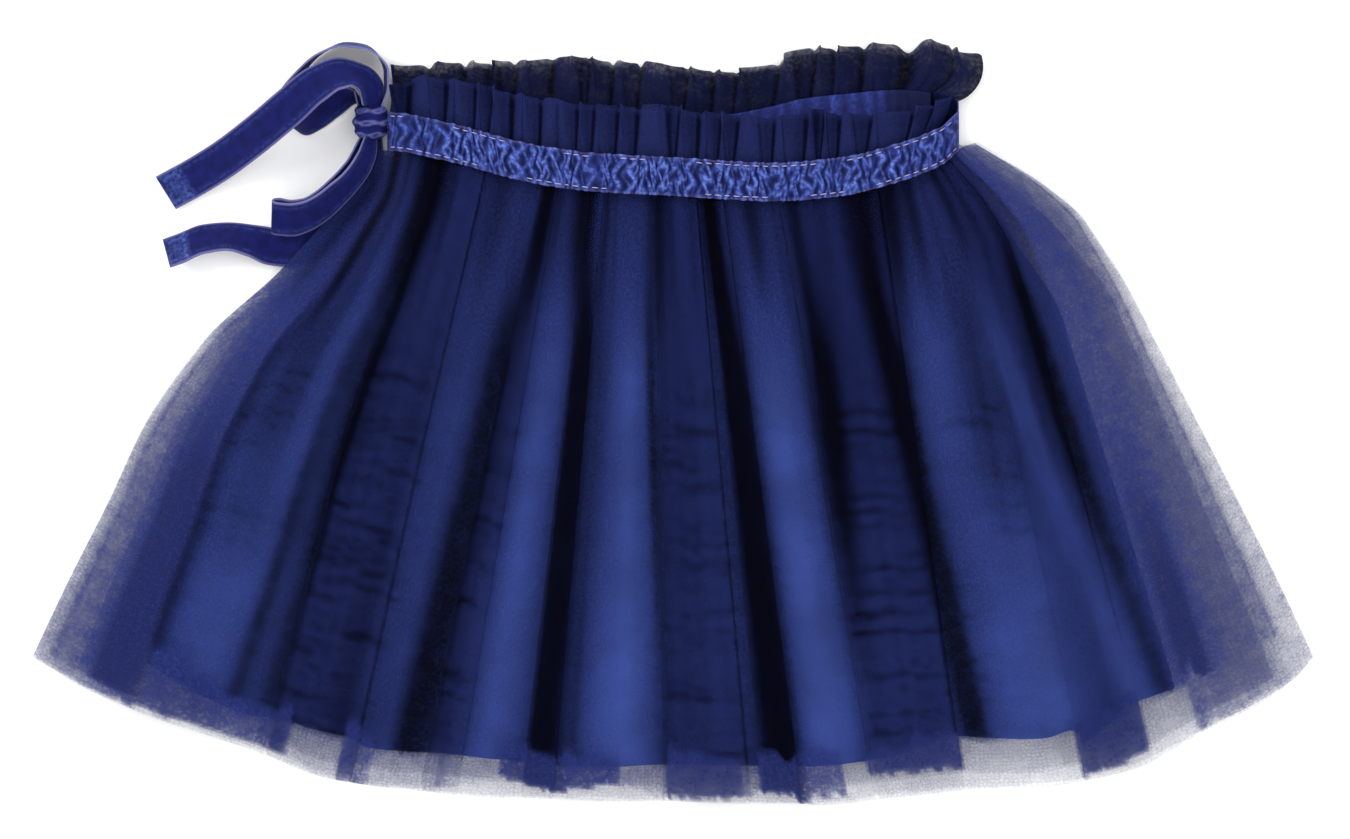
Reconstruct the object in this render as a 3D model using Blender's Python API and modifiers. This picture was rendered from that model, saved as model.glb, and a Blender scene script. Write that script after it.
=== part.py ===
"""A child's gathered net skirt, laid flat on its back with the front up.

Two layers of net hang over a satin lining. A velvet ribbon casing gathers them at the waist, a frill
of net stands above it, and a velvet drawstring is tied in a bow at the left end. The front and back
panels lie on each other. +X runs along the hem, +Y from hem to waist and +Z up from the surface.
Sizes in the tables are in millimetres.
"""

import math

import bpy
import numpy as np

MM = 0.001
COLLECTION = "gathered_net_skirt"

# Driving sizes
CLOTH_WALL = 1.0
SEAM_GAP = 0.3
HALF_WIDTH = 269.0
CASING_HEIGHT = 16.0
RIBBON_WIDTH = 16.0
GATHERS = 27
FRONT_FLUTES = 22
BACK_FLUTES = 18
CASING_CRINKLES = 46
BACK_FOLDS = 13

# Height of each layer's middle above the surface
BACK_PITCH = 1.65
BACK_FOLD_HEIGHT = 1.0
FRONT_TOP_AT_WAIST = 8.4
FRONT_TOP_INSIDE = 10.4
FRONT_TOP_AT_SIDE = 1.8
PITCH_AT_WAIST = 1.35
PITCH_INSIDE = 2.1
SIDE_RAMP_AT_HEM = 34.0
SIDE_RAMP_AT_WAIST = 72.0
STEEP_PITCH = 0.5
SIDE_LIFT = 1.4
PLEAT_PITCH = 1.7
GATHER_HEIGHT = 1.0
GATHERS_FADE_BY = 0.42
SIDES_OPEN_BY = 0.3
HEM_SINK = 1.6
CASING_FRONT_INSIDE = 13.6

# The ring of the waist, which turns down at its ends
CASING_REACH = 119.4
CASING_END_HEIGHT = 5.7
CASING_END_TURN = 11.0
CASING_BACK_RISE = 4.4
CASING_BACK_TURN = 7.0
CASING_INSET = 1.0
CRINKLE_HEIGHT = 0.9
CRINKLES_START = 6.0
BAND_REACH = 104.0
BAND_HEIGHT = 3.6
BAND_INSET = 1.5

# The frill above the casing
HEADING_REACH = 113.0
HEADING_ROOT_INSET = 2.2
HEADING_END_TURN = 12.0
HEADING_FRONT_HEIGHT = 11.2
HEADING_FRONT_DROP = 5.0
HEADING_BACK_HEIGHT = 1.95
HEADING_BACK_RISE = 2.6
FRONT_FLUTE_HEIGHT = 4.4
BACK_FLUTE_HEIGHT = 4.2
FLUTES_START = 14.0
FLUTE_LEAN = 1.1
RAGGED_EDGE = 0.8
RIGHT_FLARE = 15.0
LEFT_FLARE = 1.0

# Where each line of cloth leaves the waist and where it meets the hem
FAN = (  # hem_x, waist_x
    (-269, -128.0), (-241, -122.0), (-203, -112.0), (-182, -105.0), (-173, -99.0),
    (-127, -73.0), (-108, -56.0), (-77, -42.0), (-56, -31.0), (-21, -19.0), (-4, -8.0),
    (45, 16.0), (68, 30.0), (89, 47.0), (127, 90.0), (158, 104.0), (190, 113.0),
    (228, 120.0), (269, 128.0),
)
# The hem of the outer net
HEM = (  # x, y
    (-269, -100), (-247, -112), (-204, -129), (-176, -138), (-143, -150), (-71, -158),
    (13, -160), (55, -161), (123, -155), (160, -153), (192, -146), (223, -130), (260, -110),
    (269, -100),
)
# How far the sides bow out of the straight line from waist to hem
SIDE_BOW = (  # way_down, left, right
    (0.0, 0.0, 0.0), (0.08, -5.0, 17.0), (0.15, -1.5, 24.0), (0.24, 3.5, 24.0), (0.38, 16.0, 20.5),
    (0.5, 18.0, 17.0), (0.7, 11.0, 11.0), (0.85, 6.0, 6.0), (1.0, 0.0, 0.0),
)
# Lower edge of the casing on the front, and upper edge of the casing on the back
CASING_FRONT_LOW = (  # x, y
    (-130, 112.5), (-118, 112.0), (-94, 107.5), (-59, 98.5), (-35, 95.0), (0, 93.0), (42, 90.8),
    (70, 93.0), (91, 98.0), (112, 106.0), (121, 113.5), (130, 116.5),
)
CASING_BACK_HIGH = (  # x, y
    (-130, 128.5), (-119, 128.5), (-84, 130.0), (-47, 131.0), (-14, 130.0), (20, 128.0),
    (39, 131.0), (56, 135.0), (70, 136.5), (95, 138.5), (112, 136.5), (122, 132.5), (130, 132.5),
)
# Rounded folds of the front: the height of the cloth above its base at the hem
FRONT_FOLDS = (  # hem_x, height
    (-269, 0.0), (-244, 2.0), (-214, 6.5), (-193, 0.6), (-184, 3.0), (-174, 0.6), (-150, 3.6),
    (-127, 6.5), (-108, 0.4), (-95, 2.4), (-81, 7.0), (-58, 0.0), (-24, 7.6), (-4, 0.6),
    (20, 3.6), (45, 0.3), (66, 7.0), (85, 2.2), (104, 3.6), (126, 0.3), (155, 7.6), (178, 2.0),
    (192, 5.2), (207, 2.0), (226, 0.4), (246, 2.0), (269, 0.0),
)
# Pleats of the outer net: each lies in three layers between its two folds
PLEATS = (  # left_fold, right_fold
    (-172, -134), (-106, -90), (-64, -50), (-4, 33), (38, 54), (84, 122), (172, 200),
)
# A pleat goes over the top, round its right fold, back, round its left fold and out below
PLEAT_PATH = (  # across, layer
    (0.0, 2.0), (0.5, 2.0), (0.96, 2.0), (1.0, 1.5), (0.95, 1.0), (0.5, 1.0), (0.05, 1.0),
    (0.0, 0.5), (0.06, 0.0), (0.5, 0.0), (1.0, 0.0),
)
# Sheets of the skirt from the surface up, with where each one's sides leave the waist and meet the hem
SHEETS = (  # name, on_front, level, left_at_waist, left_at_hem, right_at_waist, right_at_hem, reach, fold_share
    ("net_outer_back", False, 0, -269, -269, 269, 269, 1.0, 0.0),
    ("net_under_back", False, 1, -226, -252, 226, 254, 0.975, 0.0),
    ("lining_back", False, 2, -180, -226, 180, 216, 0.935, 0.0),
    ("lining_front", True, 0, -180, -226, 180, 216, 0.935, 0.76),
    ("net_under_front", True, 1, -226, -252, 226, 254, 0.975, 0.88),
    ("net_outer_front", True, 2, -269, -269, 269, 269, 1.0, 1.0),
)
BACK_ROWS = (0.0, 0.1, 0.27, 0.4, 0.68, 1.0)
LINING_ROWS = (0.0, 0.08, 0.22, 0.42, 0.68, 1.0)
FRONT_ROWS = (0.0, 0.06, 0.17, 0.34, 0.56, 0.8, 1.0)
LINE_SPACING = 8.5
BACK_LINE_SPACING = 10.4
PLAIN_SPACING = 5.0
STILL_WITHIN = 150.0

# Height of the frill above the casing
HEADING_FRONT = (  # x, height
    (-117, 11.0), (-98, 18.5), (-61, 20.5), (0, 21.0), (42, 18.5), (56, 21.0), (74, 17.0),
    (91, 14.0), (104, 12.0), (118, 9.0),
)
HEADING_BACK = (  # x, height
    (-117, 19.0), (-84, 20.0), (-60, 18.5), (-54, 20.5), (-14, 19.0), (20, 18.0), (39, 17.0),
    (56, 20.0), (90, 19.5), (94, 17.0), (100, 22.5), (118, 19.5),
)

# The drawstring. The ribbon's middle, the turn of its width in plan, its tilt and its width
TAIL_UPPER = (  # x, y, z, across, tilt, width
    (-212.9, 94.9, 1.2, 122, 0, 16), (-205.8, 98.7, 1.2, 120, 0, 16), (-189.4, 107.9, 6.4, 119, 0, 16),
    (-173.9, 118.4, 15.0, 121, 0, 16), (-160.5, 129.0, 19.4, 124, 3, 16),
    (-148.5, 139.0, 20.0, 113, -12, 16), (-138.6, 143.8, 19.8, 92, -32, 16),
    (-131.8, 143.4, 18.5, 60, -48, 15), (-127.4, 138.2, 14.6, 14, -50, 12),
    (-126.8, 131.2, 9.8, 0, -50, 8),
)
LOOP_UPPER = (  # x, y, z, across, tilt, width
    (-122.2, 130.4, 6.6, 10, 82, 7), (-119.9, 138.4, 7.6, 4, 78, 12), (-119.9, 145.2, 8.6, -14, 74, 15),
    (-122.4, 150.9, 8.6, -44, 70, 16), (-129.0, 155.0, 8.6, -74, 70, 16),
    (-137.8, 155.6, 8.6, -102, 70, 16), (-147.4, 152.0, 8.6, -126, 70, 16),
    (-155.2, 146.0, 8.4, -138, 68, 16), (-161.0, 137.6, 7.8, -154, 62, 16),
    (-163.4, 129.0, 7.4, -176, 58, 16), (-161.9, 121.6, 7.6, -208, 60, 16),
    (-156.4, 119.6, 8.2, -252, 66, 16), (-149.9, 124.2, 8.4, -316, 68, 16),
    (-142.8, 131.9, 8.4, -316, 68, 16), (-136.8, 136.2, 7.4, -296, 66, 14),
    (-132.6, 136.0, 5.8, -238, 66, 10), (-130.6, 130.6, 5.2, -190, 66, 5),
)
LOOP_LOWER = (  # x, y, z, across, tilt, width
    (-126.4, 118.0, 9.4, 0, -50, 7), (-127.4, 112.3, 13.6, -6, -50, 11), (-129.8, 106.2, 15.8, -28, -50, 15),
    (-134.4, 99.6, 15.6, -40, -50, 16), (-140.4, 93.8, 14.4, -46, -48, 16),
    (-146.4, 88.6, 12.8, -56, -44, 16), (-153.0, 84.8, 11.0, -72, -38, 16),
    (-159.6, 83.2, 9.7, -88, -35, 16), (-164.8, 83.6, 9.4, -95, -35, 16),
    (-166.6, 83.9, 9.1, -95, -35, 16), (-167.6, 84.7, 8.0, -95, -35, 16),
    (-166.6, 85.5, 6.9, -95, -35, 16), (-164.8, 85.6, 6.6, -95, -35, 16),
    (-159.6, 85.0, 6.9, -88, -35, 16), (-153.1, 86.6, 8.0, -72, -38, 15),
    (-147.1, 90.6, 9.8, -56, -44, 14), (-141.7, 95.9, 11.6, -46, -48, 13),
    (-136.6, 101.7, 12.8, -40, -50, 13), (-133.0, 107.4, 11.4, -28, -54, 11),
    (-131.0, 112.4, 8.4, -6, -60, 9), (-129.6, 118.0, 5.6, 0, -64, 6),
)
TAIL_LOWER = (  # x, y, z, across, tilt, width
    (-212.1, 69.3, 5.7, 109, -38, 16), (-206.2, 71.4, 5.8, 106, -38, 16), (-197.0, 75.2, 6.0, 98, -39, 16),
    (-186.5, 76.4, 6.1, 88, -42, 16), (-176.8, 74.8, 5.0, 76, -34, 16), (-168.4, 72.4, 2.0, 78, -10, 16),
    (-163.0, 72.0, 0.5, 92, 0, 16), (-157.4, 73.0, 0.5, 104, 0, 16), (-152.0, 75.4, 0.5, 120, 0, 16),
    (-146.2, 79.8, 0.5, 132, 0, 16), (-138.6, 87.4, 0.5, 138, 0, 16), (-132.6, 96.2, 0.5, 150, 0, 15),
    (-128.8, 105.4, 0.5, 160, 0, 14), (-127.2, 113.8, 0.5, 172, 0, 11), (-126.8, 119.7, 0.5, 178, 0, 9),
)
STATIONS_BETWEEN = 2
TURNED_END = 8.0
KNOT_CENTRE = (-126.4, 124.6, 7.0)
KNOT_SIZE = (14.2, 13.0, 11.0)

# Colours as the cloth shows them, in sRGB
NAVY_NET = "#1B2150"
UNDER_NET = "#232C6E"
BLUE_SATIN = "#2B3A96"
BLUE_VELVET = "#24308A"


def linear(hex_colour):
    """Turn an sRGB hex colour into linear values with full alpha."""
    parts = [int(hex_colour[i:i + 2], 16) / 255 for i in (1, 3, 5)]
    return [p / 12.92 if p <= 0.04045 else ((p + 0.055) / 1.055) ** 2.4 for p in parts] + [1.0]


def material(name, hex_colour, roughness):
    """Make a cloth material."""
    made = bpy.data.materials.new(name)
    made.use_nodes = True
    shader = made.node_tree.nodes["Principled BSDF"]
    shader.inputs["Base Color"].default_value = linear(hex_colour)
    shader.inputs["Roughness"].default_value = roughness
    return made


def ease(value):
    """Rise smoothly from 0 to 1 as the value does."""
    value = np.clip(value, 0.0, 1.0)
    return value * value * (3.0 - 2.0 * value)


def through(table, at, column=1):
    """Read a smooth curve through a table's rows at the first column's value, without overshoot."""
    rows = np.array(table, dtype=float)
    x, y = rows[:, 0], rows[:, column]
    step = np.diff(x)
    slope = np.diff(y) / step
    tangent = np.zeros(len(x))
    tangent[0], tangent[-1] = slope[0], slope[-1]
    total = slope[:-1] + slope[1:]
    product = slope[:-1] * slope[1:]
    tangent[1:-1] = np.where(product > 0, 2 * product / np.where(product > 0, total, 1), 0)
    at = np.clip(at, x[0], x[-1])
    i = np.clip(np.searchsorted(x, at) - 1, 0, len(x) - 2)
    u = (at - x[i]) / step[i]
    start = (1 + 2 * u) * (1 - u) ** 2 * y[i] + u * (1 - u) ** 2 * step[i] * tangent[i]
    end = u * u * (3 - 2 * u) * y[i + 1] + u * u * (u - 1) * step[i] * tangent[i + 1]
    return start + end


def waist_y(on_front, x):
    """Height of the skirt's top edge, tucked under the front casing but not at the ring's ends."""
    if on_front:
        tuck = 1.5 - 3.2 * ease((np.abs(x) - 106) / 8)
        return through(CASING_FRONT_LOW, x) + tuck
    return through(CASING_BACK_HIGH, x) - CASING_HEIGHT - SEAM_GAP - 1.2 * ease((np.abs(x) - 106) / 8)


def skirt_plan(on_front, hem_x, down):
    """Place a point of the fan, given by its line's hem_x and how far down that line it is."""
    top_x = through(FAN, hem_x)
    top_y = waist_y(on_front, top_x)
    left = ease((-hem_x - 120) / (HALF_WIDTH - 120))
    right = ease((hem_x - 120) / (HALF_WIDTH - 120))
    bow = through(SIDE_BOW, down, 2) * right - through(SIDE_BOW, down, 1) * left
    x = top_x + (hem_x - top_x) * down + bow
    y = top_y + (through(HEM, hem_x) - top_y) * down
    return x, y


def side_rise(hem_x, down):
    """How far in from the side a line is, from 0 at the side to 1 where the sheets lie at full height."""
    ramp = SIDE_RAMP_AT_WAIST + (SIDE_RAMP_AT_HEM - SIDE_RAMP_AT_WAIST) * ease(down / 0.25)
    return ease((HALF_WIDTH - np.abs(hem_x)) / ramp)


def back_height(level, hem_x, down):
    """Height of a back sheet: flat lands on the surface with shallow raised folds between them."""
    turn = BACK_FOLDS * (hem_x / HALF_WIDTH + 1) / 2 + 0.35 * np.sin(hem_x / 60)
    fold = np.maximum(0, np.sin(2 * math.pi * turn)) ** 2 * ease(down / 0.3 + 0.3)
    return CLOTH_WALL / 2 + BACK_PITCH * level + BACK_FOLD_HEIGHT * fold * side_rise(hem_x, down)


def side_lift(hem_x, down):
    """The left side rests on the end of the drawstring near the waist."""
    away = ease(down / 0.12)
    inner_edge = -205 + 37 * away
    return SIDE_LIFT * (1 - ease((hem_x - inner_edge) / (16 + 18 * away))) * (1 - ease((down - 0.27) / 0.13))


def front_height(level, share, hem_x, down):
    """Height of a front sheet: low at the sides, high inside, with the rounded folds on top."""
    rise = side_rise(hem_x, down)
    away = ease(down / 0.12)
    top = FRONT_TOP_AT_WAIST + (FRONT_TOP_INSIDE - FRONT_TOP_AT_WAIST) * away
    pitch = PITCH_AT_WAIST + (PITCH_INSIDE - PITCH_AT_WAIST) * away * rise
    pitch = pitch + STEEP_PITCH * 4 * rise * (1 - rise)
    base = FRONT_TOP_AT_SIDE + (top - FRONT_TOP_AT_SIDE) * rise - pitch * (2 - level)
    sink = HEM_SINK * ease((down - 0.9) / 0.1)
    fold = through(FRONT_FOLDS, hem_x) * ease(down / 0.75) * share
    return base - sink * rise + fold


def gather(hem_x, down):
    """Small waves that the elastic gathers into the outer net, fading out down the skirt."""
    waist = (through(FAN, hem_x) / through(FAN, HALF_WIDTH) + 1) / 2
    inside = side_rise(hem_x, down)
    wave = (1 - np.cos(2 * math.pi * GATHERS * waist)) / 2
    return GATHER_HEIGHT * wave * inside * (1 - ease(down / GATHERS_FADE_BY))


def pleat_columns():
    """List the outer net's columns: where each is in the fan, and in which pleat and how far along."""
    columns = []
    edges = [(-HALF_WIDTH, -HALF_WIDTH)] + list(PLEATS) + [(HALF_WIDTH, HALF_WIDTH)]
    for (_, last), (left, right) in zip(edges, edges[1:]):
        count = max(2, round((left - last) / PLAIN_SPACING))
        plain = [(last + (left - last) * i / count, None, None) for i in range(count)]
        columns += plain[1 if columns else 0:]
        if right > left:
            columns += [(0.0, (left, right), point) for point in PLEAT_PATH]
    return columns + [(HALF_WIDTH, None, None)]


def pleated_point(column, down):
    """A point of the outer front net."""
    hem_x, pleat, point = column
    layer = 0.0
    if pleat:
        left, right = pleat
        across, layer = point
        hem_x = left + (right - left) * across
    hem_x = np.float64(hem_x)
    x, y = skirt_plan(True, hem_x, down)
    z = front_height(2, 1.0, hem_x, down) + side_lift(hem_x, down) + gather(hem_x, down)
    return x, y, z + PLEAT_PITCH * layer


def grid_mesh(name, rows):
    """Make an open surface from rows of points in millimetres."""
    wide = len(rows[0])
    points = [tuple(MM * float(c) for c in point) for row in rows for point in row]
    faces = [
        (r * wide + c, (r + 1) * wide + c, (r + 1) * wide + c + 1, r * wide + c + 1)
        for r in range(len(rows) - 1) for c in range(wide - 1)
    ]
    mesh = bpy.data.meshes.new(name)
    mesh.from_pydata(points, [], faces)
    mesh.update()
    return mesh


def place(name, mesh, finish, parent):
    """Put a mesh in the skirt's collection under its empty."""
    mesh.materials.append(finish)
    mesh.shade_smooth()
    made = bpy.data.objects.new(name, mesh)
    made.parent = parent
    bpy.data.collections[COLLECTION].objects.link(made)
    return made


def cloth(name, rows, finish, parent, wall=CLOTH_WALL):
    """A sheet of cloth: the surface through its rows, given its wall."""
    made = place(name, grid_mesh(name, rows), finish, parent)
    shell = made.modifiers.new("wall", "SOLIDIFY")
    shell.thickness = wall * MM
    shell.offset = 0.0
    return made


def slab(name, lower, upper, finish, parent):
    """A wall between two sets of rows, plain below and shaped above."""
    high, wide = len(lower), len(lower[0])
    count = high * wide
    points = [tuple(MM * float(c) for c in point) for rows in (lower, upper) for row in rows for point in row]
    faces = []
    for r in range(high - 1):
        for c in range(wide - 1):
            quad = (r * wide + c, (r + 1) * wide + c, (r + 1) * wide + c + 1, r * wide + c + 1)
            faces.append(tuple(i + count for i in quad))
            faces.append(quad[::-1])
    rim = [(0, c) for c in range(wide)] + [(r, wide - 1) for r in range(1, high)]
    rim += [(high - 1, c) for c in range(wide - 2, -1, -1)] + [(r, 0) for r in range(high - 2, 0, -1)]
    for (r0, c0), (r1, c1) in zip(rim, rim[1:] + rim[:1]):
        a, b = r0 * wide + c0, r1 * wide + c1
        faces.append((a, a + count, b + count, b))
    mesh = bpy.data.meshes.new(name)
    mesh.from_pydata(points, [], faces)
    mesh.update()
    return place(name, mesh, finish, parent)


def sheet_lines(spacing, sides, down):
    """Lines of the fan across a sheet. Those near its sides crowd inwards towards the waist."""
    left_top, left_hem, right_top, right_hem = sides
    count = int(HALF_WIDTH / spacing)
    shared = spacing * np.arange(-count, count + 1)
    within = shared[(shared > left_hem + spacing / 2) & (shared < right_hem - spacing / 2)]
    lines = np.concatenate([[left_hem], within, [right_hem]])
    open_out = ease(down / SIDES_OPEN_BY)
    placed = lines.copy()
    for side, top, hem in ((lines < 0, -left_top, -left_hem), (lines > 0, right_top, right_hem)):
        edge = top + (hem - top) * open_out
        squeezed = STILL_WITHIN + (np.abs(lines) - STILL_WITHIN) * (edge - STILL_WITHIN) / (hem - STILL_WITHIN)
        placed = np.where(side & (np.abs(lines) > STILL_WITHIN), np.sign(lines) * squeezed, placed)
    return placed


def skirt_sheets(finishes, parent):
    """The six panels of the skirt."""
    for name, on_front, level, *sides, reach, share in SHEETS:
        grid = []
        if name == "net_outer_front":
            grid = [[pleated_point(c, down) for c in pleat_columns()] for down in FRONT_ROWS]
        else:
            for down in [reach * r for r in (LINING_ROWS if on_front else BACK_ROWS)]:
                lines = sheet_lines(LINE_SPACING if on_front else BACK_LINE_SPACING, sides, down)
                x, y = skirt_plan(on_front, lines, np.full(len(lines), down))
                if on_front:
                    z = front_height(level, share, lines, down)
                else:
                    z = back_height(level, lines, down)
                grid.append(list(zip(x, y, z + side_lift(lines, down))))
        cloth(name, grid, finishes[name.split("_")[1] if "net" in name else "lining"], parent)


def ring_drop(x, reach, end, depth):
    """How far the ring of the waist turns down towards its ends."""
    inward = np.clip((np.abs(x) - (reach - end)) / end, 0, 1)
    return depth * (1 - np.sqrt(1 - inward * inward))


def frill(name, on_front, finish, parent):
    """The frill of net: its root lies under the casing and its flutes open above."""
    flutes = FRONT_FLUTES if on_front else BACK_FLUTES
    heights = HEADING_FRONT if on_front else HEADING_BACK
    reach = HEADING_REACH
    columns = flutes * 4
    grid = []
    for up in ((-1.0, 0.0, 0.5, 1.0) if on_front else (-1.0, 0.0, 1.0)):
        row = []
        for i in range(columns + 1):
            along = i / columns
            x = -reach + 2 * reach * along
            open_up = max(0.0, up) ** 0.8
            flare = RIGHT_FLARE * open_up * ease((x - 80) / 37) - LEFT_FLARE * open_up * ease((-x - 90) / 27)
            if on_front:
                low = through(CASING_FRONT_LOW, x + flare)
            else:
                low = through(CASING_BACK_HIGH, x + flare) - CASING_HEIGHT
            tall = through(heights, x) if up > 0 else CASING_HEIGHT + SEAM_GAP - HEADING_ROOT_INSET
            turn = 2 * math.pi * flutes * (along + 0.004 * math.sin(31 * along)) + 0.5
            swell = (1 - math.cos(turn)) / 2
            lean = FLUTE_LEAN * open_up * math.sin(turn)
            inside = ease((reach - abs(x)) / FLUTES_START)
            if on_front:
                z = HEADING_FRONT_HEIGHT + 0.6 * open_up
                z += (FRONT_FLUTE_HEIGHT * open_up + 0.3) * swell * inside
                z -= ring_drop(x, reach, HEADING_END_TURN, HEADING_FRONT_DROP)
            else:
                z = HEADING_BACK_HEIGHT + (BACK_FLUTE_HEIGHT * open_up + 0.1) * swell * inside
                z += ring_drop(x, reach, HEADING_END_TURN, HEADING_BACK_RISE)
            ragged = RAGGED_EDGE * open_up * math.sin(2.3 * turn)
            row.append((x + lean + flare, low + CASING_HEIGHT + SEAM_GAP + tall * up + ragged, z))
        grid.append(row)
    cloth(name, grid[::-1], finish, parent)


def casing(name, on_front, finish, parent):
    """The ribbon casing: plain inside, crinkled outside where the elastic draws it up."""
    reach = CASING_REACH
    columns = CASING_CRINKLES * 2 if on_front else CASING_CRINKLES
    inner, outer = [], []
    for r, up in enumerate((1.0, 0.5, 0.0)):
        inner_row, outer_row = [], []
        for i in range(columns + 1):
            x = -reach + 2 * reach * i / columns
            low = through(CASING_FRONT_LOW, x) if on_front else through(CASING_BACK_HIGH, x) - CASING_HEIGHT
            y = low + CASING_HEIGHT * up
            raised = CRINKLE_HEIGHT if (i + (r == 1)) % 2 else 0.0
            inside = ease((reach - abs(x)) / CRINKLES_START)
            if on_front:
                z = CASING_FRONT_INSIDE
                z -= ring_drop(x, reach, CASING_END_TURN, CASING_FRONT_INSIDE - CASING_END_HEIGHT)
                inner_row.append((x * (reach - CASING_INSET) / reach, y, z))
                outer_row.append((x, y, z + CLOTH_WALL + raised * inside))
            else:
                z = ring_drop(x, reach, CASING_BACK_TURN, CASING_BACK_RISE)
                inner_row.append((x * (reach - CASING_INSET) / reach, y, z + CLOTH_WALL))
                outer_row.append((x, y, z))
        inner.append(inner_row)
        outer.append(outer_row)
    if on_front:
        slab(name, inner, outer, finish, parent)
    else:
        slab(name, outer, inner, finish, parent)


def inside_band(finish, parent):
    """The band inside the back of the waist, seen in the open mouth."""
    reach, columns = BAND_REACH, 40
    grid = []
    for up in (1.0, 0.5, 0.0):
        row = []
        for i in range(columns + 1):
            x = -reach + 2 * reach * i / columns
            y = through(CASING_BACK_HIGH, x) - CASING_HEIGHT + BAND_INSET + (CASING_HEIGHT - 2.0) * up
            row.append((x, y, BAND_HEIGHT + 0.25 * math.sin(x * 1.1)))
        grid.append(row)
    cloth("band_inside_back", grid, finish, parent)


def ribbon(name, stations, finish, parent, turned_end=False):
    """A stretch of the drawstring along its stations. A tail's end is turned back and is thicker."""
    table = np.array(stations, dtype=float)
    keys = np.arange(len(table), dtype=float)
    steps = np.linspace(0, len(table) - 1, (len(table) - 1) * STATIONS_BETWEEN + 1)
    sides = []
    for side in (1, -1):
        points = []
        for step in steps:
            x, y, z, across, tilt, width = [
                through(np.column_stack([keys, table[:, c]]), step, 1) for c in range(6)
            ]
            turn, lean = math.radians(across), math.radians(tilt)
            reach = side * width / 2
            points.append((
                x + reach * math.cos(turn) * math.cos(lean),
                y + reach * math.sin(turn) * math.cos(lean),
                z + reach * math.sin(lean),
            ))
        sides.append(points)
    middle = [tuple((a + b) / 2 for a, b in zip(p, q)) for p, q in zip(*sides)]
    made = cloth(name, [sides[0], middle, sides[1]], finish, parent, wall=CLOTH_WALL)
    if turned_end:
        group = made.vertex_groups.new(name="turned_end")
        end = np.array(middle[0])
        for vertex in made.data.vertices:
            away = np.linalg.norm(np.array(vertex.co) / MM - end)
            group.add([vertex.index], 1.0 if away < math.hypot(TURNED_END, RIBBON_WIDTH / 2) else 0.0, "REPLACE")
        shell = made.modifiers["wall"]
        shell.thickness = 1.4 * CLOTH_WALL * MM
        shell.vertex_group = "turned_end"
        shell.thickness_vertex_group = 1 / 1.4
    return made


def knot(finish, parent):
    """The knot of the bow, a soft lump with the drawstring wrapped round it."""
    bpy.ops.mesh.primitive_uv_sphere_add(segments=18, ring_count=10, radius=0.5)
    made = bpy.context.active_object
    made.name = "tie_knot"
    for vertex in made.data.vertices:
        x, y, z = vertex.co
        wrap = 1 - 0.10 * math.cos(4 * math.pi * y) * (1 - (2 * y) ** 2)
        square = 1.0 + 0.10 * math.sin(2 * math.atan2(z, x)) ** 2
        vertex.co = (
            x * wrap * square * KNOT_SIZE[0] * MM + KNOT_CENTRE[0] * MM,
            y * KNOT_SIZE[1] * MM + KNOT_CENTRE[1] * MM,
            z * wrap * square * KNOT_SIZE[2] * MM + KNOT_CENTRE[2] * MM,
        )
    made.data.materials.append(finish)
    made.data.shade_smooth()
    for owner in list(made.users_collection):
        owner.objects.unlink(made)
    bpy.data.collections[COLLECTION].objects.link(made)
    made.parent = parent


def main():
    for old in list(bpy.data.objects):
        bpy.data.objects.remove(old, do_unlink=True)
    bpy.context.scene.collection.children.link(bpy.data.collections.new(COLLECTION))
    root = bpy.data.objects.new("skirt", None)
    bpy.data.collections[COLLECTION].objects.link(root)

    velvet = material("blue_velvet_ribbon", BLUE_VELVET, 0.6)
    satin = material("blue_satin_lining", BLUE_SATIN, 0.45)
    outer_net = material("navy_net", NAVY_NET, 0.8)
    under_net = material("navy_under_net", UNDER_NET, 0.8)
    skirt_sheets({"outer": outer_net, "under": under_net, "lining": satin}, root)
    for side, on_front in (("front", True), ("back", False)):
        frill(f"heading_{side}", on_front, outer_net, root)
        casing(f"casing_{side}", on_front, velvet, root)
    inside_band(satin, root)
    knot(velvet, root)
    ribbon("tie_tail_upper", TAIL_UPPER, velvet, root, turned_end=True)
    ribbon("tie_tail_lower", TAIL_LOWER, velvet, root, turned_end=True)
    ribbon("tie_loop_upper", LOOP_UPPER, velvet, root)
    ribbon("tie_loop_lower", LOOP_LOWER, velvet, root)


main()
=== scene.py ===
"""Looks of a child's gathered net skirt, laid flat with the front up.

Every sheet of cloth is a fine surface on its solid's form. The net is see-through, so its folds,
gathers and pleats darken where its layers lie on each other, and painted shade darkens its colour
there too. Sizes in the tables are in millimetres.
+X runs along the hem, +Y from hem to waist and +Z up from the surface.
"""

import math

import bpy
import numpy as np
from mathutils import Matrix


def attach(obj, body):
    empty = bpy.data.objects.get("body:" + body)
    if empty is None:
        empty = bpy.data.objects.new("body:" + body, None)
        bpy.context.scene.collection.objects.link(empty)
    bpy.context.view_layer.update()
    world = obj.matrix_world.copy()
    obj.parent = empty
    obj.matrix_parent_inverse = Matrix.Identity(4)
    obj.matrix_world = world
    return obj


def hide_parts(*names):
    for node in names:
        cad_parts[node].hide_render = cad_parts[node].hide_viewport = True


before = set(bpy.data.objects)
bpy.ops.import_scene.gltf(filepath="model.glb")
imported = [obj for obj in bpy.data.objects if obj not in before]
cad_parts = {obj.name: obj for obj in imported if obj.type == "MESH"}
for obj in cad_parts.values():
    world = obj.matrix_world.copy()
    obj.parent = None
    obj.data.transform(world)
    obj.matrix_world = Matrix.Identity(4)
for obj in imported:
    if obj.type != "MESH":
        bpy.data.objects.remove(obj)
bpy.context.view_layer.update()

MM = 0.001
PHOTO_PIXEL = 0.42
PHOTO_WIDTH = 1350 * PHOTO_PIXEL
CAMERA_HEIGHT = 1900.0
SENSOR = 36.0

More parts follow.
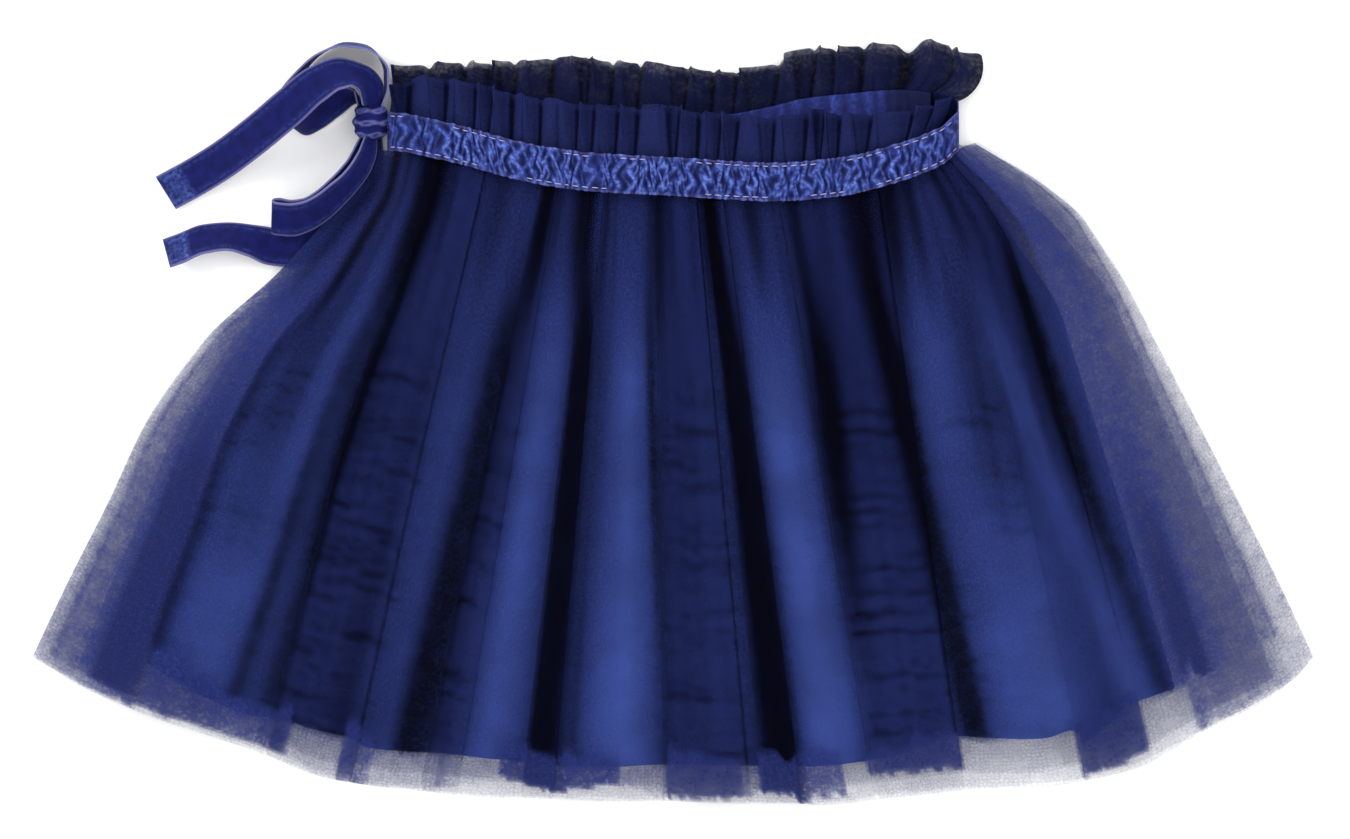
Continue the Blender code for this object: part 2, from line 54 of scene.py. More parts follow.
# Driving sizes of the skirt, as in its solids
CLOTH_WALL = 1.0
SEAM_GAP = 0.3
HALF_WIDTH = 269.0
CASING_HEIGHT = 16.0
GATHERS = 27
FRONT_FLUTES = 22
BACK_FLUTES = 18
CASING_CRINKLES = 46
BACK_FOLDS = 13
BACK_PITCH = 1.65
BACK_FOLD_HEIGHT = 1.0
FRONT_TOP_AT_WAIST = 8.4
FRONT_TOP_INSIDE = 10.4
FRONT_TOP_AT_SIDE = 1.8
PITCH_AT_WAIST = 1.35
PITCH_INSIDE = 2.1
SIDE_RAMP_AT_HEM = 34.0
SIDE_RAMP_AT_WAIST = 72.0
STEEP_PITCH = 0.5
SIDE_LIFT = 1.4
PLEAT_PITCH = 1.7
GATHER_HEIGHT = 1.5
CASING_FRONT_INSIDE = 13.6
RING_END = 5.7
FRONT_TUCK = 1.5
END_UNTUCK = 1.2
TUCK_REACH = 106.0
BOW_FROM = 120.0
STILL_WIDTH = 150.0
WAIST_SHARE = 0.12
HEM_SINK = 1.6
SKIRT_LENGTH = 253.0
FRILL_LEFT = 118.6
FRONT_FRILL_RIGHT = 113.0
BACK_FRILL_RIGHT = 119.0
FRILL_ROOT_INSET = 2.2
CASING_REACH = 119.4
CASING_PUFF = 0.8
BAND_REACH = 104.0
BAND_SEAM_X = 66.78
FRILL_RING = 113.0
FRILL_RING_END = 12.0
FRONT_FRILL_LEVEL = 11.2
FRONT_FRILL_SWELL = 4.4
BACK_FRILL_LEVEL = 1.95
BACK_FRILL_SWELL = 4.2
TURNED_END = 9.0
RIBBON_CUP = 0.5

# Finer sizes of the cloth
NET_CELL = 1.5
NET_GRAIN = 1.6
NET_CLOUD = 6.0
SATIN_THREAD = 1.1
SATIN_CLOUD = 34.0
PILE = 0.9
NAP = 4.5
NAP_STREAK = 1.7
THREAD_TWIST = 10 / 9
PAPER_GRAIN = 10 / 3
STITCH_LENGTH = 2.7
STITCH_GAP = 1.5
STITCH_THICKNESS = 0.5
STITCH_ROWS = (0.10, 0.90)
STITCH_SECTIONS = ((0.0, 0.35, 0.7), (0.5, 0.6, 1.0), (1.0, 0.35, 0.7))  # along, lift, thickness
CRINKLE_PITCHES = (6.3, 8.9)
FAINT_PITCH = 3.9
STREAK_WIDTH = 2.7

# How much of the creases' height each sheet takes
OUTER_CREASE = 0.9
INNER_CREASE = 0.5
BACK_CREASE = 0.6
# How far down the under net reaches, how much shorter the pleats' inner layers are, and how uneven
# the hems, as shares of the outer net's length
UNDER_REACH = 0.975
OUTER_PLEAT_SHORT = 0.012
UNDER_PLEAT_SHORT = 0.03
UNEVEN_HEM = 0.006

# How fine the sheets' points are: the distance between lines, and the rows from waist to hem
NET_LINES = 1.5
LINING_LINES = 1.7
FRONT_ROWS = 130
BACK_ROWS = 110

# The share of what lies behind it that one layer of net covers
LAYER_COVER = 0.125
# Layers of net that each thing adds to the folds, or stands for
STREAK_LAYERS = 1.3
CRINKLE_LAYERS = 2.4
FAINT_LAYERS = 0.9
CREASE_SHADE_LAYERS = 0.8
WAIST_LAYERS = 6.0
FRINGE_LAYERS = 1.7
FRILL_LAYERS = 26.0
# The heap sets the net's painted shade: its colour darkens towards the shaded colour as the heap grows.
# Outside the lining and at the hem it is a share of the layers
UNDER_SHADE_HEAP = 3.0
FOLDED_EDGE_SHADE = 8.0
OUTSIDE_SHADE_SHARE = 0.33
OUTSIDE_SHADE_RANGE = (2.0, 7.0)
HEM_SHADE_SHARE = 0.28
HEM_SHADE_RANGE = (2.0, 5.2)
# Where the lining lies behind the net: half its width, and how far left of the middle it sits
LINING_HALF = 217.0
LINING_OFF_CENTRE = 5.0

# Where each line of cloth leaves the waist and where it meets the hem
FAN = (  # hem_x, waist_x
    (-269, -128), (-241, -122), (-203, -112), (-182, -105), (-173, -99), (-127, -73), (-108, -56),
    (-77, -42), (-56, -31), (-21, -19), (-4, -8), (45, 16), (68, 30), (89, 47), (127, 90), (158, 104),
    (190, 113), (228, 120), (269, 128),
)
# The hem of the outer net
HEM = (  # x, y
    (-269, -100), (-247, -112), (-204, -129), (-176, -138), (-143, -150), (-71, -158), (13, -160),
    (55, -161), (123, -155), (160, -153), (192, -146), (223, -130), (260, -110), (269, -100),
)
# How far the sides bow out of the straight line from waist to hem
SIDE_BOW = (  # way_down, left, right
    (0, 0, 0), (0.08, -5, 17), (0.15, -1.5, 24), (0.24, 3.5, 24), (0.38, 16, 20.5), (0.5, 18, 17),
    (0.7, 11, 11), (0.85, 6, 6), (1, 0, 0),
)
# Lower edge of the casing on the front, and upper edge of the casing on the back
CASING_FRONT_LOW = (  # x, y
    (-130, 112.5), (-118, 112), (-94, 107.5), (-59, 98.5), (-35, 95), (0, 93), (42, 90.8), (70, 93),
    (91, 98), (112, 106), (121, 113.5), (130, 116.5),
)
CASING_BACK_HIGH = (  # x, y
    (-130, 128.5), (-119, 128.5), (-84, 130), (-47, 131), (-14, 130), (20, 128), (39, 131), (56, 135),
    (70, 136.5), (95, 138.5), (112, 136.5), (122, 132.5), (130, 132.5),
)
# Rounded folds of the front: the height of the cloth above its base at the hem
FRONT_FOLDS = (  # hem_x, height
    (-269, 0), (-244, 2), (-214, 6.5), (-193, 0.6), (-184, 3), (-174, 0.6), (-150, 3.6), (-127, 6.5),
    (-108, 0.4), (-95, 2.4), (-81, 7), (-58, 0), (-24, 7.6), (-4, 0.6), (20, 3.6), (45, 0.3), (66, 7),
    (85, 2.2), (104, 3.6), (126, 0.3), (155, 7.6), (178, 2), (192, 5.2), (207, 2), (226, 0.4), (246, 2),
    (269, 0),
)
# Pleats of the nets: each lies in three layers between its two folds. Those of the under net show
# through the outer one, and those of the back show only below the lining.
PLEATS = {  # left_fold, right_fold
    "net_outer_front": (
        (-172, -134), (-106, -90), (-64, -50), (-4, 33), (38, 54), (84, 122), (172, 200),
    ),
    "net_under_front": (
        (-185, -163), (-140, -131), (-103, -93), (-62, -50), (-1, 30), (41, 54), (90, 121), (174, 199),
    ),
    "net_under_back": (
        (-184, -163), (-140, -130), (-73, -23), (58, 74), (176, 198),
    ),
}
# How far apart a net's pleated layers lie
PLEAT_LIFT = {"net_outer_front": PLEAT_PITCH, "net_under_front": 0.3, "net_under_back": 0.3}
# A pleat goes over the top, round its right fold, back, round its left fold and out below
PLEAT_PATH = (  # across, layer
    (0, 2), (0.5, 2), (0.96, 2), (1, 1.5), (0.95, 1), (0.5, 1), (0.05, 1), (0, 0.5), (0.06, 0), (0.5, 0),
    (1, 0),
)
# Gathers too fine to model: how many layers of net lie at each line, high up and low down the skirt
OUTER_LAYERS = (  # hem_x, high_up, low_down
    (-269, 3, 3.8), (-264, 3.8, 5), (-261, 6, 7.4), (-250, 7.4, 11), (-242, 12, 24), (-236, 15, 30),
    (-229, 15, 26), (-223, 9, 9), (-214, 7.8, 3.2), (-198, 8.2, 2.6), (-190, 4, 4), (-184, 4.8, 5.4),
    (-172, 7.4, 7), (-136, 7.2, 7), (-128, 6.2, 6.4), (-116, 7, 6.6), (-106, 8, 8), (-92, 7, 5.4),
    (-86, 3.2, 2), (-74, 2, 2.8), (-67, 5, 4.8), (-60, 9, 9), (-44, 8.6, 9), (-38, 7.8, 5),
    (-30, 5.8, 2.4), (-21, 1.4, 1), (-12, 3.4, 1.8), (-6, 7, 6.2), (0, 7.4, 7), (28, 6.8, 6.2), (38, 8, 8),
    (55, 7.4, 7.4), (62, 1.8, 1.2), (70, 1.2, 1.2), (78, 3.2, 1.6), (84, 7.2, 6), (122, 7.4, 6.4),
    (131, 4.4, 8), (136, 3.2, 5.6), (146, 6, 2.2), (158, 8.6, 1), (170, 8.6, 1), (178, 7, 3.6),
    (189, 8, 5.6), (197, 9, 4.4), (206, 8, 5.4), (212, 7, 6.4), (217, 8.6, 10), (222, 10, 22),
    (228, 9.6, 24), (234, 8.6, 9.5), (240, 7.2, 6.4), (252, 7.4, 7.6), (259, 4.8, 5.6), (262, 1.3, 1.8),
    (269, 0.5, 1.4),
)
# Troughs where the net bunches deepest and is painted darker as shade, one fold where it lies thinner, and
# the lines of its side edges
TROUGHS = (  # high_x, low_x, half_width, high_layers, low_layers
    (-262, -262, 1.3, 5, 5), (-243, -243, 1.3, 4, 4), (-180, -187, 5, 3.5, 5.5), (-170, -173, 4, 4.5, 3),
    (-147, -147, 7, 0.3, 1.5), (-110, -113, 6, 5, 8), (-56, -57, 6, 6.5, 5), (-7, -4, 3, 5, 1),
    (47, 48, 6, 8, 7.5), (91, 86, 6, 5, 0.5), (120, 128, 5, 6.5, 7), (181, 197, 5, -6.5, -4),
    (201, 209, 5, 6, 4), (260, 260, 1.3, 5, 5), (-268.6, -268.6, 1.4, 1.8, 1.8),
    (268.6, 268.6, 1.4, 1.2, 1.2),
)
# The dark lines between the gathers below the casing, painted as shade with added layers
WAIST_TROUGHS = (  # hem_x, half_width, layers
    (-246, 6, 2), (-214, 6, 4.5), (-194, 3, 2), (-172, 7, 6.5), (-155, 2, 2), (-125, 4, 3), (-98, 5, 6),
    (-86, 2, 2), (-66, 6, 5.5), (-45, 3, 3), (-33, 2, 2), (-2, 5, 4), (9, 2, 1.6), (26, 2, 1.5),
    (42, 5, 6.5), (55, 2, 1.5), (70, 3, 4.5), (81, 2, 1.5), (91, 3, 3.5), (101, 2, 1.5), (113, 4, 5),
    (126, 4, 5), (140, 4, 4.5), (153, 2, 1.6), (169, 4, 4), (183, 3, 2.5), (198, 4, 3), (216, 4, 3),
    (232, 3, 2),
)
# The same below the lining's hem, where the pleats show as dark blocks with pale gaps between
HEM_LAYERS = (  # hem_x, layers
    (-269, 3.4), (-262, 5), (-246, 9), (-226, 18), (-205, 19), (-187, 16), (-184, 16), (-165, 14),
    (-162, 2.6), (-142, 2.8), (-140, 13), (-129, 12), (-127, 4.2), (-101, 4.4), (-99, 6.5), (-94, 3.6),
    (-75, 3.8), (-73, 16), (-50, 22), (-24, 18), (-22, 5.6), (-3, 5.6), (-2, 12), (29, 11), (30, 6.4),
    (36, 6.4), (38, 20), (50, 20), (52, 20), (56, 19), (58, 13), (72, 12), (73, 1.9), (83, 1.9), (84, 13),
    (122, 14), (123, 1.8), (171, 1.8), (172, 12), (199, 13), (201, 2), (219, 2.2), (222, 13), (228, 7),
    (250, 6.4), (262, 2.6), (269, 2),
)
# How far above the net's hem the dark blocks end
BLOCK_ENDS = (  # hem_x, above
    (-269, 2), (-226, 3), (-200, 4), (-166, 4.5), (-141, 1), (-129, 1), (-98, 3), (-73, 9), (-50, 4.5),
    (-24, 8), (-2, 2.5), (28, 3.5), (38, 5.5), (51, 5.5), (54, 0), (60, 4.5), (72, 4.5), (84, 11.5),
    (122, 10.5), (172, 3), (198, 6.5), (222, 2), (228, 3), (269, 2),
)
# Bands of net with fine crinkles across them
CRINKLED_BANDS = (  # seed, left, right
    (31, -176, -126), (32, -112, -84), (34, -6, 38), (35, 82, 126), (36, 128, 176), (37, -226, -192),
)
# The back outer net, whose folds show from behind
BACK_LAYERS = (  # hem_x, layers
    (-205, 1), (-194, 5.5), (-186, 9), (-178, 5), (-150, 5.5), (-143, 9), (-136, 3), (-118, 1.2),
    (-100, 2), (-92, 8), (-84, 6), (-62, 5.6), (-56, 10), (-48, 2.4), (-30, 1), (-14, 1.6), (-6, 8.5),
    (2, 6), (34, 5.6), (40, 10), (48, 3), (62, 1), (80, 1.4), (90, 6), (97, 9), (104, 6), (132, 5.6),
    (139, 8), (147, 2), (165, 1), (180, 4), (188, 9), (196, 5), (206, 1.2),
)
# Troughs and ridges that lying in a heap has pressed across the net
CREASES = (  # hem_x, down, length, depth, turn
    (-150, 0.40, 26, -0.7, 8), (-146, 0.46, 22, -0.6, 5), (-152, 0.53, 20, 0.5, 10),
    (-148, 0.60, 24, -0.6, 6), (-144, 0.67, 18, 0.4, 3), (-155, 0.73, 22, -0.5, 12),
    (-140, 0.33, 20, -0.6, 10), (-98, 0.42, 16, -0.5, 4), (-70, 0.47, 14, -0.5, 0),
    (-60, 0.55, 16, -0.6, 3), (-58, 0.63, 18, -0.5, -2), (-56, 0.70, 15, 0.4, 2),
    (-18, 0.52, 16, -0.4, -4), (-16, 0.74, 14, 0.4, 5), (6, 0.36, 22, -0.6, -3), (14, 0.44, 30, -0.8, 2),
    (10, 0.50, 26, 0.5, -2), (18, 0.56, 30, -0.7, 4), (12, 0.62, 34, -0.8, 0), (16, 0.68, 28, 0.5, 3),
    (14, 0.75, 32, -0.7, -3), (15, 0.83, 26, -0.5, 2), (60, 0.58, 14, -0.4, -6), (66, 0.72, 12, 0.4, 0),
    (98, 0.41, 22, -0.6, -6), (102, 0.48, 28, -0.7, -3), (100, 0.55, 30, 0.5, -5),
    (104, 0.62, 28, -0.7, -2), (103, 0.70, 32, -0.7, -4), (105, 0.79, 26, -0.5, 0),
    (136, 0.58, 20, 0.4, -10), (146, 0.66, 26, -0.5, -14), (150, 0.76, 22, 0.4, -8),
    (156, 0.84, 24, -0.4, -4), (186, 0.60, 16, -0.5, -16), (196, 0.74, 14, 0.4, -20),
    (-205, 0.66, 20, 0.4, 16), (-208, 0.80, 22, -0.4, 12), (-232, 0.58, 14, 0.4, 24),
    (236, 0.66, 18, 0.4, -26),
)
BACK_CREASES = (  # hem_x, down, length, depth, turn
    (-190, 0.55, 24, 0.5, 14), (-140, 0.38, 26, -0.5, 8), (-126, 0.62, 30, 0.5, 6),
    (-80, 0.48, 24, -0.5, -3), (-66, 0.74, 28, 0.5, 2), (-20, 0.35, 22, -0.5, 4), (0, 0.58, 32, 0.5, 0),
    (34, 0.80, 26, -0.5, -4), (70, 0.44, 24, 0.5, -6), (96, 0.66, 30, -0.5, -5), (140, 0.52, 26, 0.5, -10),
    (180, 0.72, 24, -0.5, -14),
)
# How far the lining's hem lies above the net's
LINING_SHORT = (  # hem_x, short_by
    (-226, 20.5), (-184, 13), (-160, 16.5), (-142, 17.5), (-130, 14.5), (-95, 16), (-75, 15.5),
    (-39, 13.5), (0, 15), (75, 16), (95, 17), (120, 22.5), (133, 21), (159, 19.5), (170, 21), (179, 16.5),
    (196, 25), (216, 22),
)

# Finishes, in sRGB
# The net's own blue where it is thin, its painted shade colour in a heap, and the painted glint on its
# threads
NET_BLUE = "#222B63"
NET_SHADED = "#070710"
NET_PAINTED_GLINT = "#555E93"
SATIN_BLUE = "#32458B"
VELVET_BLUE = "#0A0F4A"
VELVET_PAINTED_SHADE = "#050825"
VELVET_CREST_HIGHLIGHT = "#5C73C4"
SELVEDGE = "#6A689A"
THREAD_LILAC = "#AB9FC0"
CASING_BLUE = "#192361"
BAND_BLUE = "#181F55"
BAND_CREST_HIGHLIGHT = "#404FAB"
BAND_EDGE = "#323D88"
PILE_SHEEN = "#8B9AD2"
FLOOR_PALE = "#FAFAFA"
# The back frill's colours are painted darker than the front's as shade, since it lies low behind the front
# frill
FRILLS = (  # side, on_front, finish, blue, deep
    ("front", True, "nylon_tulle_frill", "#1B2149", "#060719"),
    ("back", False, "nylon_tulle_frill_behind", "#0F1332", "#040512"),
)

# The panels, from the back up. Their last four columns are the hem_x of the left and right edges,
# each at the waist and at the hem.
SHEETS = (  # name, slot, on_front, level, fold_share, left_waist, left_hem, right_waist, right_hem
    ("net_outer_back", "outer_net", False, 0, 0.0, -269, -269, 269, 269),
    ("net_under_back", "under_net", False, 1, 0.0, -226, -252, 226, 254),
    ("lining_back", "lining_satin", False, 2, 0.0, -180, -226, 180, 216),
    ("lining_front", "lining_satin", True, 0, 0.76, -180, -226, 180, 216),
    ("net_under_front", "under_net", True, 1, 0.88, -226, -252, 226, 254),
    ("net_outer_front", "outer_net", True, 2, 1.0, -269, -269, 269, 269),
)

# Height of the frill above the casing
HEADING_FRONT = (  # x, height
    (-117, 11), (-98, 18.5), (-61, 20.5), (0, 21), (42, 18.5), (56, 21), (74, 17), (91, 14), (104, 12),
    (118, 9),
)
HEADING_BACK = (  # x, height
    (-117, 19), (-84, 20), (-60, 18.5), (-54, 20.5), (-14, 19), (20, 18), (39, 17), (56, 20), (90, 19.5),
    (94, 17.5), (100, 21.5), (118, 25),
)

# The drawstring. The ribbon's middle, the turn of its width in plan, its tilt and its width
TAIL_UPPER = (  # x, y, z, across, tilt, width
    (-212.9, 94.9, 1.2, 122, 0, 16), (-205.8, 98.7, 1.2, 120, 0, 16), (-189.4, 107.9, 6.4, 119, 0, 16),
    (-173.9, 118.4, 15, 121, 0, 16), (-160.5, 129, 19.4, 124, 3, 16), (-148.5, 139, 20, 113, -12, 16),
    (-138.2, 143.6, 19.8, 92, -32, 16), (-130.6, 142.6, 18.5, 60, -48, 16),
    (-125.8, 137.4, 14.8, 14, -46, 14), (-125.6, 130.8, 10.2, 0, -46, 11),
)
LOOP_UPPER = (  # x, y, z, across, tilt, width
    (-122.2, 130.4, 6.6, 10, 82, 7), (-119.9, 138.4, 7.6, 4, 80, 12), (-119.9, 145.2, 8.6, -14, 80, 15),
    (-122.4, 150.9, 8.6, -44, 80, 16), (-129, 155.6, 8.6, -74, 80, 16), (-137.8, 156.6, 8.6, -102, 80, 16),
    (-147.4, 153, 8.6, -126, 80, 16), (-155.2, 146, 8.4, -138, 74, 16), (-161, 137.6, 7.8, -154, 68, 16),
    (-163.2, 129.6, 7.4, -176, 62, 16), (-161.4, 123.8, 7.6, -204, 68, 16), (-156.2, 122, 8, -232, 66, 16),
    (-149.6, 126, 8, -240, 56, 16), (-142.8, 132.2, 7.6, -236, 46, 16), (-136.6, 135.8, 7, -232, 50, 14),
    (-132.6, 136, 5.8, -238, 66, 10), (-130.6, 130.6, 5.2, -190, 66, 5),
)
LOOP_LOWER = (  # x, y, z, across, tilt, width
    (-126.4, 118, 9.4, 0, -50, 7), (-127.2, 112.3, 13, -6, -56, 11), (-129.4, 106.2, 15, -28, -60, 14),
    (-134, 99.6, 15.2, -40, -60, 15), (-140, 93.8, 14.2, -46, -57, 16), (-146.2, 88.6, 12.8, -56, -52, 16),
    (-153, 84.8, 11, -72, -44, 16), (-159.6, 83.2, 9.7, -88, -35, 16), (-164.8, 83.6, 9.4, -95, -35, 16),
    (-166.6, 83.9, 9.1, -95, -35, 16), (-167.6, 84.7, 8, -95, -35, 16), (-166.6, 85.5, 6.9, -95, -35, 16),
    (-164.8, 85.6, 6.6, -95, -35, 16), (-159.6, 85, 6.9, -88, -38, 16), (-153.1, 86.6, 8, -72, -44, 15),
    (-147.1, 90.6, 9.8, -56, -52, 14), (-141.7, 95.9, 11, -46, -57, 13),
    (-136.6, 101.7, 11.8, -40, -60, 12), (-132.6, 107.4, 10.8, -28, -60, 11),
    (-131, 112.4, 8.4, -6, -60, 9), (-129.6, 118, 5.6, 0, -64, 6),
)
TAIL_LOWER = (  # x, y, z, across, tilt, width
    (-212.1, 69.3, 5.7, 109, -38, 16), (-206.2, 71.4, 5.8, 106, -38, 16), (-197, 75.2, 6, 98, -39, 16),
    (-186.5, 76.4, 6.1, 88, -42, 16), (-176.8, 74.8, 5, 76, -34, 16), (-168.4, 72.4, 2, 78, -10, 16),
    (-163, 72, 0.5, 92, 0, 16), (-157.4, 73, 0.5, 104, 0, 16), (-152, 75.4, 0.5, 120, 0, 16),
    (-146.2, 79.8, 0.5, 132, 0, 16), (-138.6, 87.4, 0.5, 138, 0, 16), (-132.6, 96.2, 0.5, 150, 0, 15),
    (-128.8, 105.4, 0.5, 160, 0, 14), (-127.2, 113.8, 0.5, 172, 0, 11), (-126.8, 119.7, 0.5, 178, 0, 9),
)
KNOT_CENTRE = (-126.4, 124.6, 7.0)
KNOT_SIZE = (14.2, 13.0, 11.0)

WORLD_STRENGTH = 1.3
KEY_POWER = 9.0
FILL_POWER = 5.0
CAMERA_X = 0.8
CAMERA_Y = -0.2


def linear(hex_colour, strength=1.0):
    """Turn an sRGB hex colour into linear values, made lighter or darker by a strength."""
    parts = [int(hex_colour[i:i + 2], 16) / 255 for i in (1, 3, 5)]
    parts = [p / 12.92 if p <= 0.04045 else ((p + 0.055) / 1.055) ** 2.4 for p in parts]
    return [min(1.0, strength * p) for p in parts] + [1.0]


def ease(value):
    """Rise smoothly from 0 to 1 as the value does."""
    value = np.clip(value, 0.0, 1.0)
    return value * value * (3.0 - 2.0 * value)


def bell(value):
    """A soft bump round 0, about 1 wide on each side."""
    return np.exp(-value * value)


def wave(turn):
    """Rise from 0 to 1 and back over each turn."""
    return (1 - np.cos(2 * math.pi * turn)) / 2


def blend(first, second, share):
    """Go from the first value to the second as the share goes from 0 to 1."""
    return first * (1 - share) + second * share


def wander(seed, at, pitch):
    """A smooth random curve from 0 to 1, the same each run, with a new value every pitch."""
    values = np.random.default_rng(seed).random(400)
    place = np.asarray(at) / pitch + 100
    low = np.clip(np.floor(place).astype(int), 0, len(values) - 2)
    return values[low] + (values[low + 1] - values[low]) * ease(place - low)


def through(table, at, column=1):
    """Read a smooth curve through a table's rows at the first column's value, without overshoot."""
    rows = np.array(table, dtype=float)
    x, y = rows[:, 0], rows[:, column]
    step = np.diff(x)
    slope = np.diff(y) / step
    tangent = np.zeros(len(x))
    tangent[0], tangent[-1] = slope[0], slope[-1]
    total = slope[:-1] + slope[1:]
    product = slope[:-1] * slope[1:]
    tangent[1:-1] = np.where(product > 0, 2 * product / np.where(product > 0, total, 1), 0)
    at = np.clip(at, x[0], x[-1])
    i = np.clip(np.searchsorted(x, at) - 1, 0, len(x) - 2)
    u = (at - x[i]) / step[i]
    start = (1 + 2 * u) * (1 - u) ** 2 * y[i] + u * (1 - u) ** 2 * step[i] * tangent[i]
    end = u * u * (3 - 2 * u) * y[i + 1] + u * u * (u - 1) * step[i] * tangent[i + 1]
    return start + end


def run_along(line):
    """How far along a line of points each point is."""
    return np.concatenate([[0], np.cumsum(np.linalg.norm(np.diff(line, axis=0), axis=1))])


def casing_low(on_front, x):
    """Where the casing's lower edge is."""
    if on_front:
        return through(CASING_FRONT_LOW, x)
    return through(CASING_BACK_HIGH, x) - CASING_HEIGHT


def waist_y(on_front, x):
    """Where the skirt's top edge is, tucked under the front casing but less so at the ring's ends."""
    untucked = END_UNTUCK * ease((np.abs(x) - TUCK_REACH) / 8)
    return casing_low(on_front, x) + (FRONT_TUCK if on_front else -SEAM_GAP) - untucked


def skirt_plan(on_front, hem_x, down):
    """Place a point of the fan, given by its line's hem_x and how far down that line it is."""
    top_x = through(FAN, hem_x)
    top_y = waist_y(on_front, top_x)
    left = ease((-hem_x - BOW_FROM) / (HALF_WIDTH - BOW_FROM))
    right = ease((hem_x - BOW_FROM) / (HALF_WIDTH - BOW_FROM))
    bow = through(SIDE_BOW, down, 2) * right - through(SIDE_BOW, down, 1) * left
    x = top_x + (hem_x - top_x) * down + bow
    y = top_y + (through(HEM, hem_x) - top_y) * down
    return x, y


def side_rise(hem_x, down):
    """How far in from the side a line is, from 0 at the side to 1 where the sheets lie at full height."""
    ramp = SIDE_RAMP_AT_WAIST + (SIDE_RAMP_AT_HEM - SIDE_RAMP_AT_WAIST) * ease(down / 0.25)
    return ease((HALF_WIDTH - np.abs(hem_x)) / ramp)


def back_height(level, hem_x, down):
    """Height of a back sheet: flat lands on the surface with shallow raised folds between them."""
    turn = BACK_FOLDS * (hem_x / HALF_WIDTH + 1) / 2 + 0.35 * np.sin(hem_x / 60)
    fold = np.maximum(0, np.sin(2 * math.pi * turn)) ** 2 * ease(down / 0.3 + 0.3)
    return CLOTH_WALL / 2 + BACK_PITCH * level + BACK_FOLD_HEIGHT * fold * side_rise(hem_x, down)


def side_lift(hem_x, down):
    """The left side rests on the end of the drawstring near the waist."""
    away = ease(down / WAIST_SHARE)
    inner_edge = -205 + 37 * away
    inward = ease((hem_x - inner_edge) / (16 + 18 * away))
    return SIDE_LIFT * (1 - inward) * (1 - ease((down - 0.27) / 0.13))


def front_height(level, share, hem_x, down):
    """Height of a front sheet: low at the sides, high inside, with the rounded folds on top."""
    rise = side_rise(hem_x, down)
    away = ease(down / WAIST_SHARE)
    top = FRONT_TOP_AT_WAIST + (FRONT_TOP_INSIDE - FRONT_TOP_AT_WAIST) * away
    pitch = PITCH_AT_WAIST + (PITCH_INSIDE - PITCH_AT_WAIST) * away * rise
    pitch = pitch + STEEP_PITCH * 4 * rise * (1 - rise)
    base = FRONT_TOP_AT_SIDE + (top - FRONT_TOP_AT_SIDE) * rise - pitch * (2 - level)
    sink = HEM_SINK * ease((down - 0.9) / 0.1)
    fold = through(FRONT_FOLDS, hem_x) * ease(down / 0.75) * share
    return base - sink * rise + fold


def ring_drop(x, reach, end, depth):
    """How far the ring of the waist turns down towards its ends."""
    inward = np.clip((np.abs(x) - (reach - end)) / end, 0, 1)
    return depth * (1 - np.sqrt(1 - inward * inward))


def gather(hem_x, down):
    """The waves that the elastic gathers into the outer net, uneven in height and length."""
    along = (through(FAN, hem_x) / through(FAN, HALF_WIDTH) + 1) / 2
    turn = GATHERS * along + 0.28 * np.sin(19 * along) + 0.2 * np.sin(47 * along)
    reach = 0.30 + 0.26 * wander(3, turn, 1.0)
    height = GATHER_HEIGHT * (0.55 + 0.45 * wander(5, turn, 1.0))
    return height * wave(turn) ** 1.3 * side_rise(hem_x, down) * (1 - ease(down / reach))


def creased(table, hem_x, down):
    """Height of the troughs and ridges across the cloth."""
    total = np.zeros(np.broadcast(hem_x, down).shape)
    for at_x, at_down, length, depth, turn in table:
        across = (hem_x - at_x) * (0.45 + 0.55 * at_down)
        along = (down - at_down) * SKIRT_LENGTH
        tilt = math.radians(turn)
        u = across * math.cos(tilt) + along * math.sin(tilt)
        v = along * math.cos(tilt) - across * math.sin(tilt) + 0.9 * np.sin(u * 0.35 + at_x)
        total += depth * bell(1.6 * u / length) * bell(v / 1.1)
    return total


def points_at(x, y, z):
    """Points from their three coordinates."""
    return np.stack(np.broadcast_arrays(x, y, z), axis=-1)


def new_piece(name, corners, faces, cloth):
    """A piece of mesh with its finish."""
    mesh = bpy.data.meshes.new(name)
    mesh.from_pydata(corners, [], faces)
    mesh.materials.append(cloth)
    mesh.shade_smooth()
    made = bpy.data.objects.new(name, mesh)
    bpy.context.scene.collection.objects.link(made)
    return made


def surface(name, points, cloth, marks, wall=0.0):
    """A sheet through rows of points in millimetres, with its flat place on the cloth as its UV map."""
    high, wide = points.shape[:2]
    index = np.arange(high * wide).reshape(high, wide)
    quads = np.stack([index[:-1, :-1], index[1:, :-1], index[1:, 1:], index[:-1, 1:]], axis=-1)
    made = new_piece(name, (points.reshape(-1, 3) * MM).tolist(), quads.reshape(-1, 4).tolist(), cloth)
    mesh = made.data
    u = np.zeros((high, wide))
    v = np.zeros((high, wide))
    u[:, 1:] = np.cumsum(np.linalg.norm(np.diff(points, axis=1), axis=2).mean(axis=0))
    v[1:, :] = np.cumsum(np.linalg.norm(np.diff(points, axis=0), axis=2).mean(axis=1))[:, None]
    flat = np.stack([u, v], axis=-1).reshape(-1, 2)
    corners = np.empty(len(mesh.loops), dtype=np.int32)
    mesh.loops.foreach_get("vertex_index", corners)
    mesh.uv_layers.new(name="cloth").data.foreach_set("uv", flat[corners].astype(np.float32).ravel())
    for mark, values in marks.items():
        held = mesh.attributes.new(mark, "FLOAT", "POINT")
        held.data.foreach_set("value", np.broadcast_to(values, (high, wide)).astype(np.float32).ravel())
    if wall:
        shell = made.modifiers.new("wall", "SOLIDIFY")
        shell.thickness = wall * MM
        shell.offset = 0.0
    return made


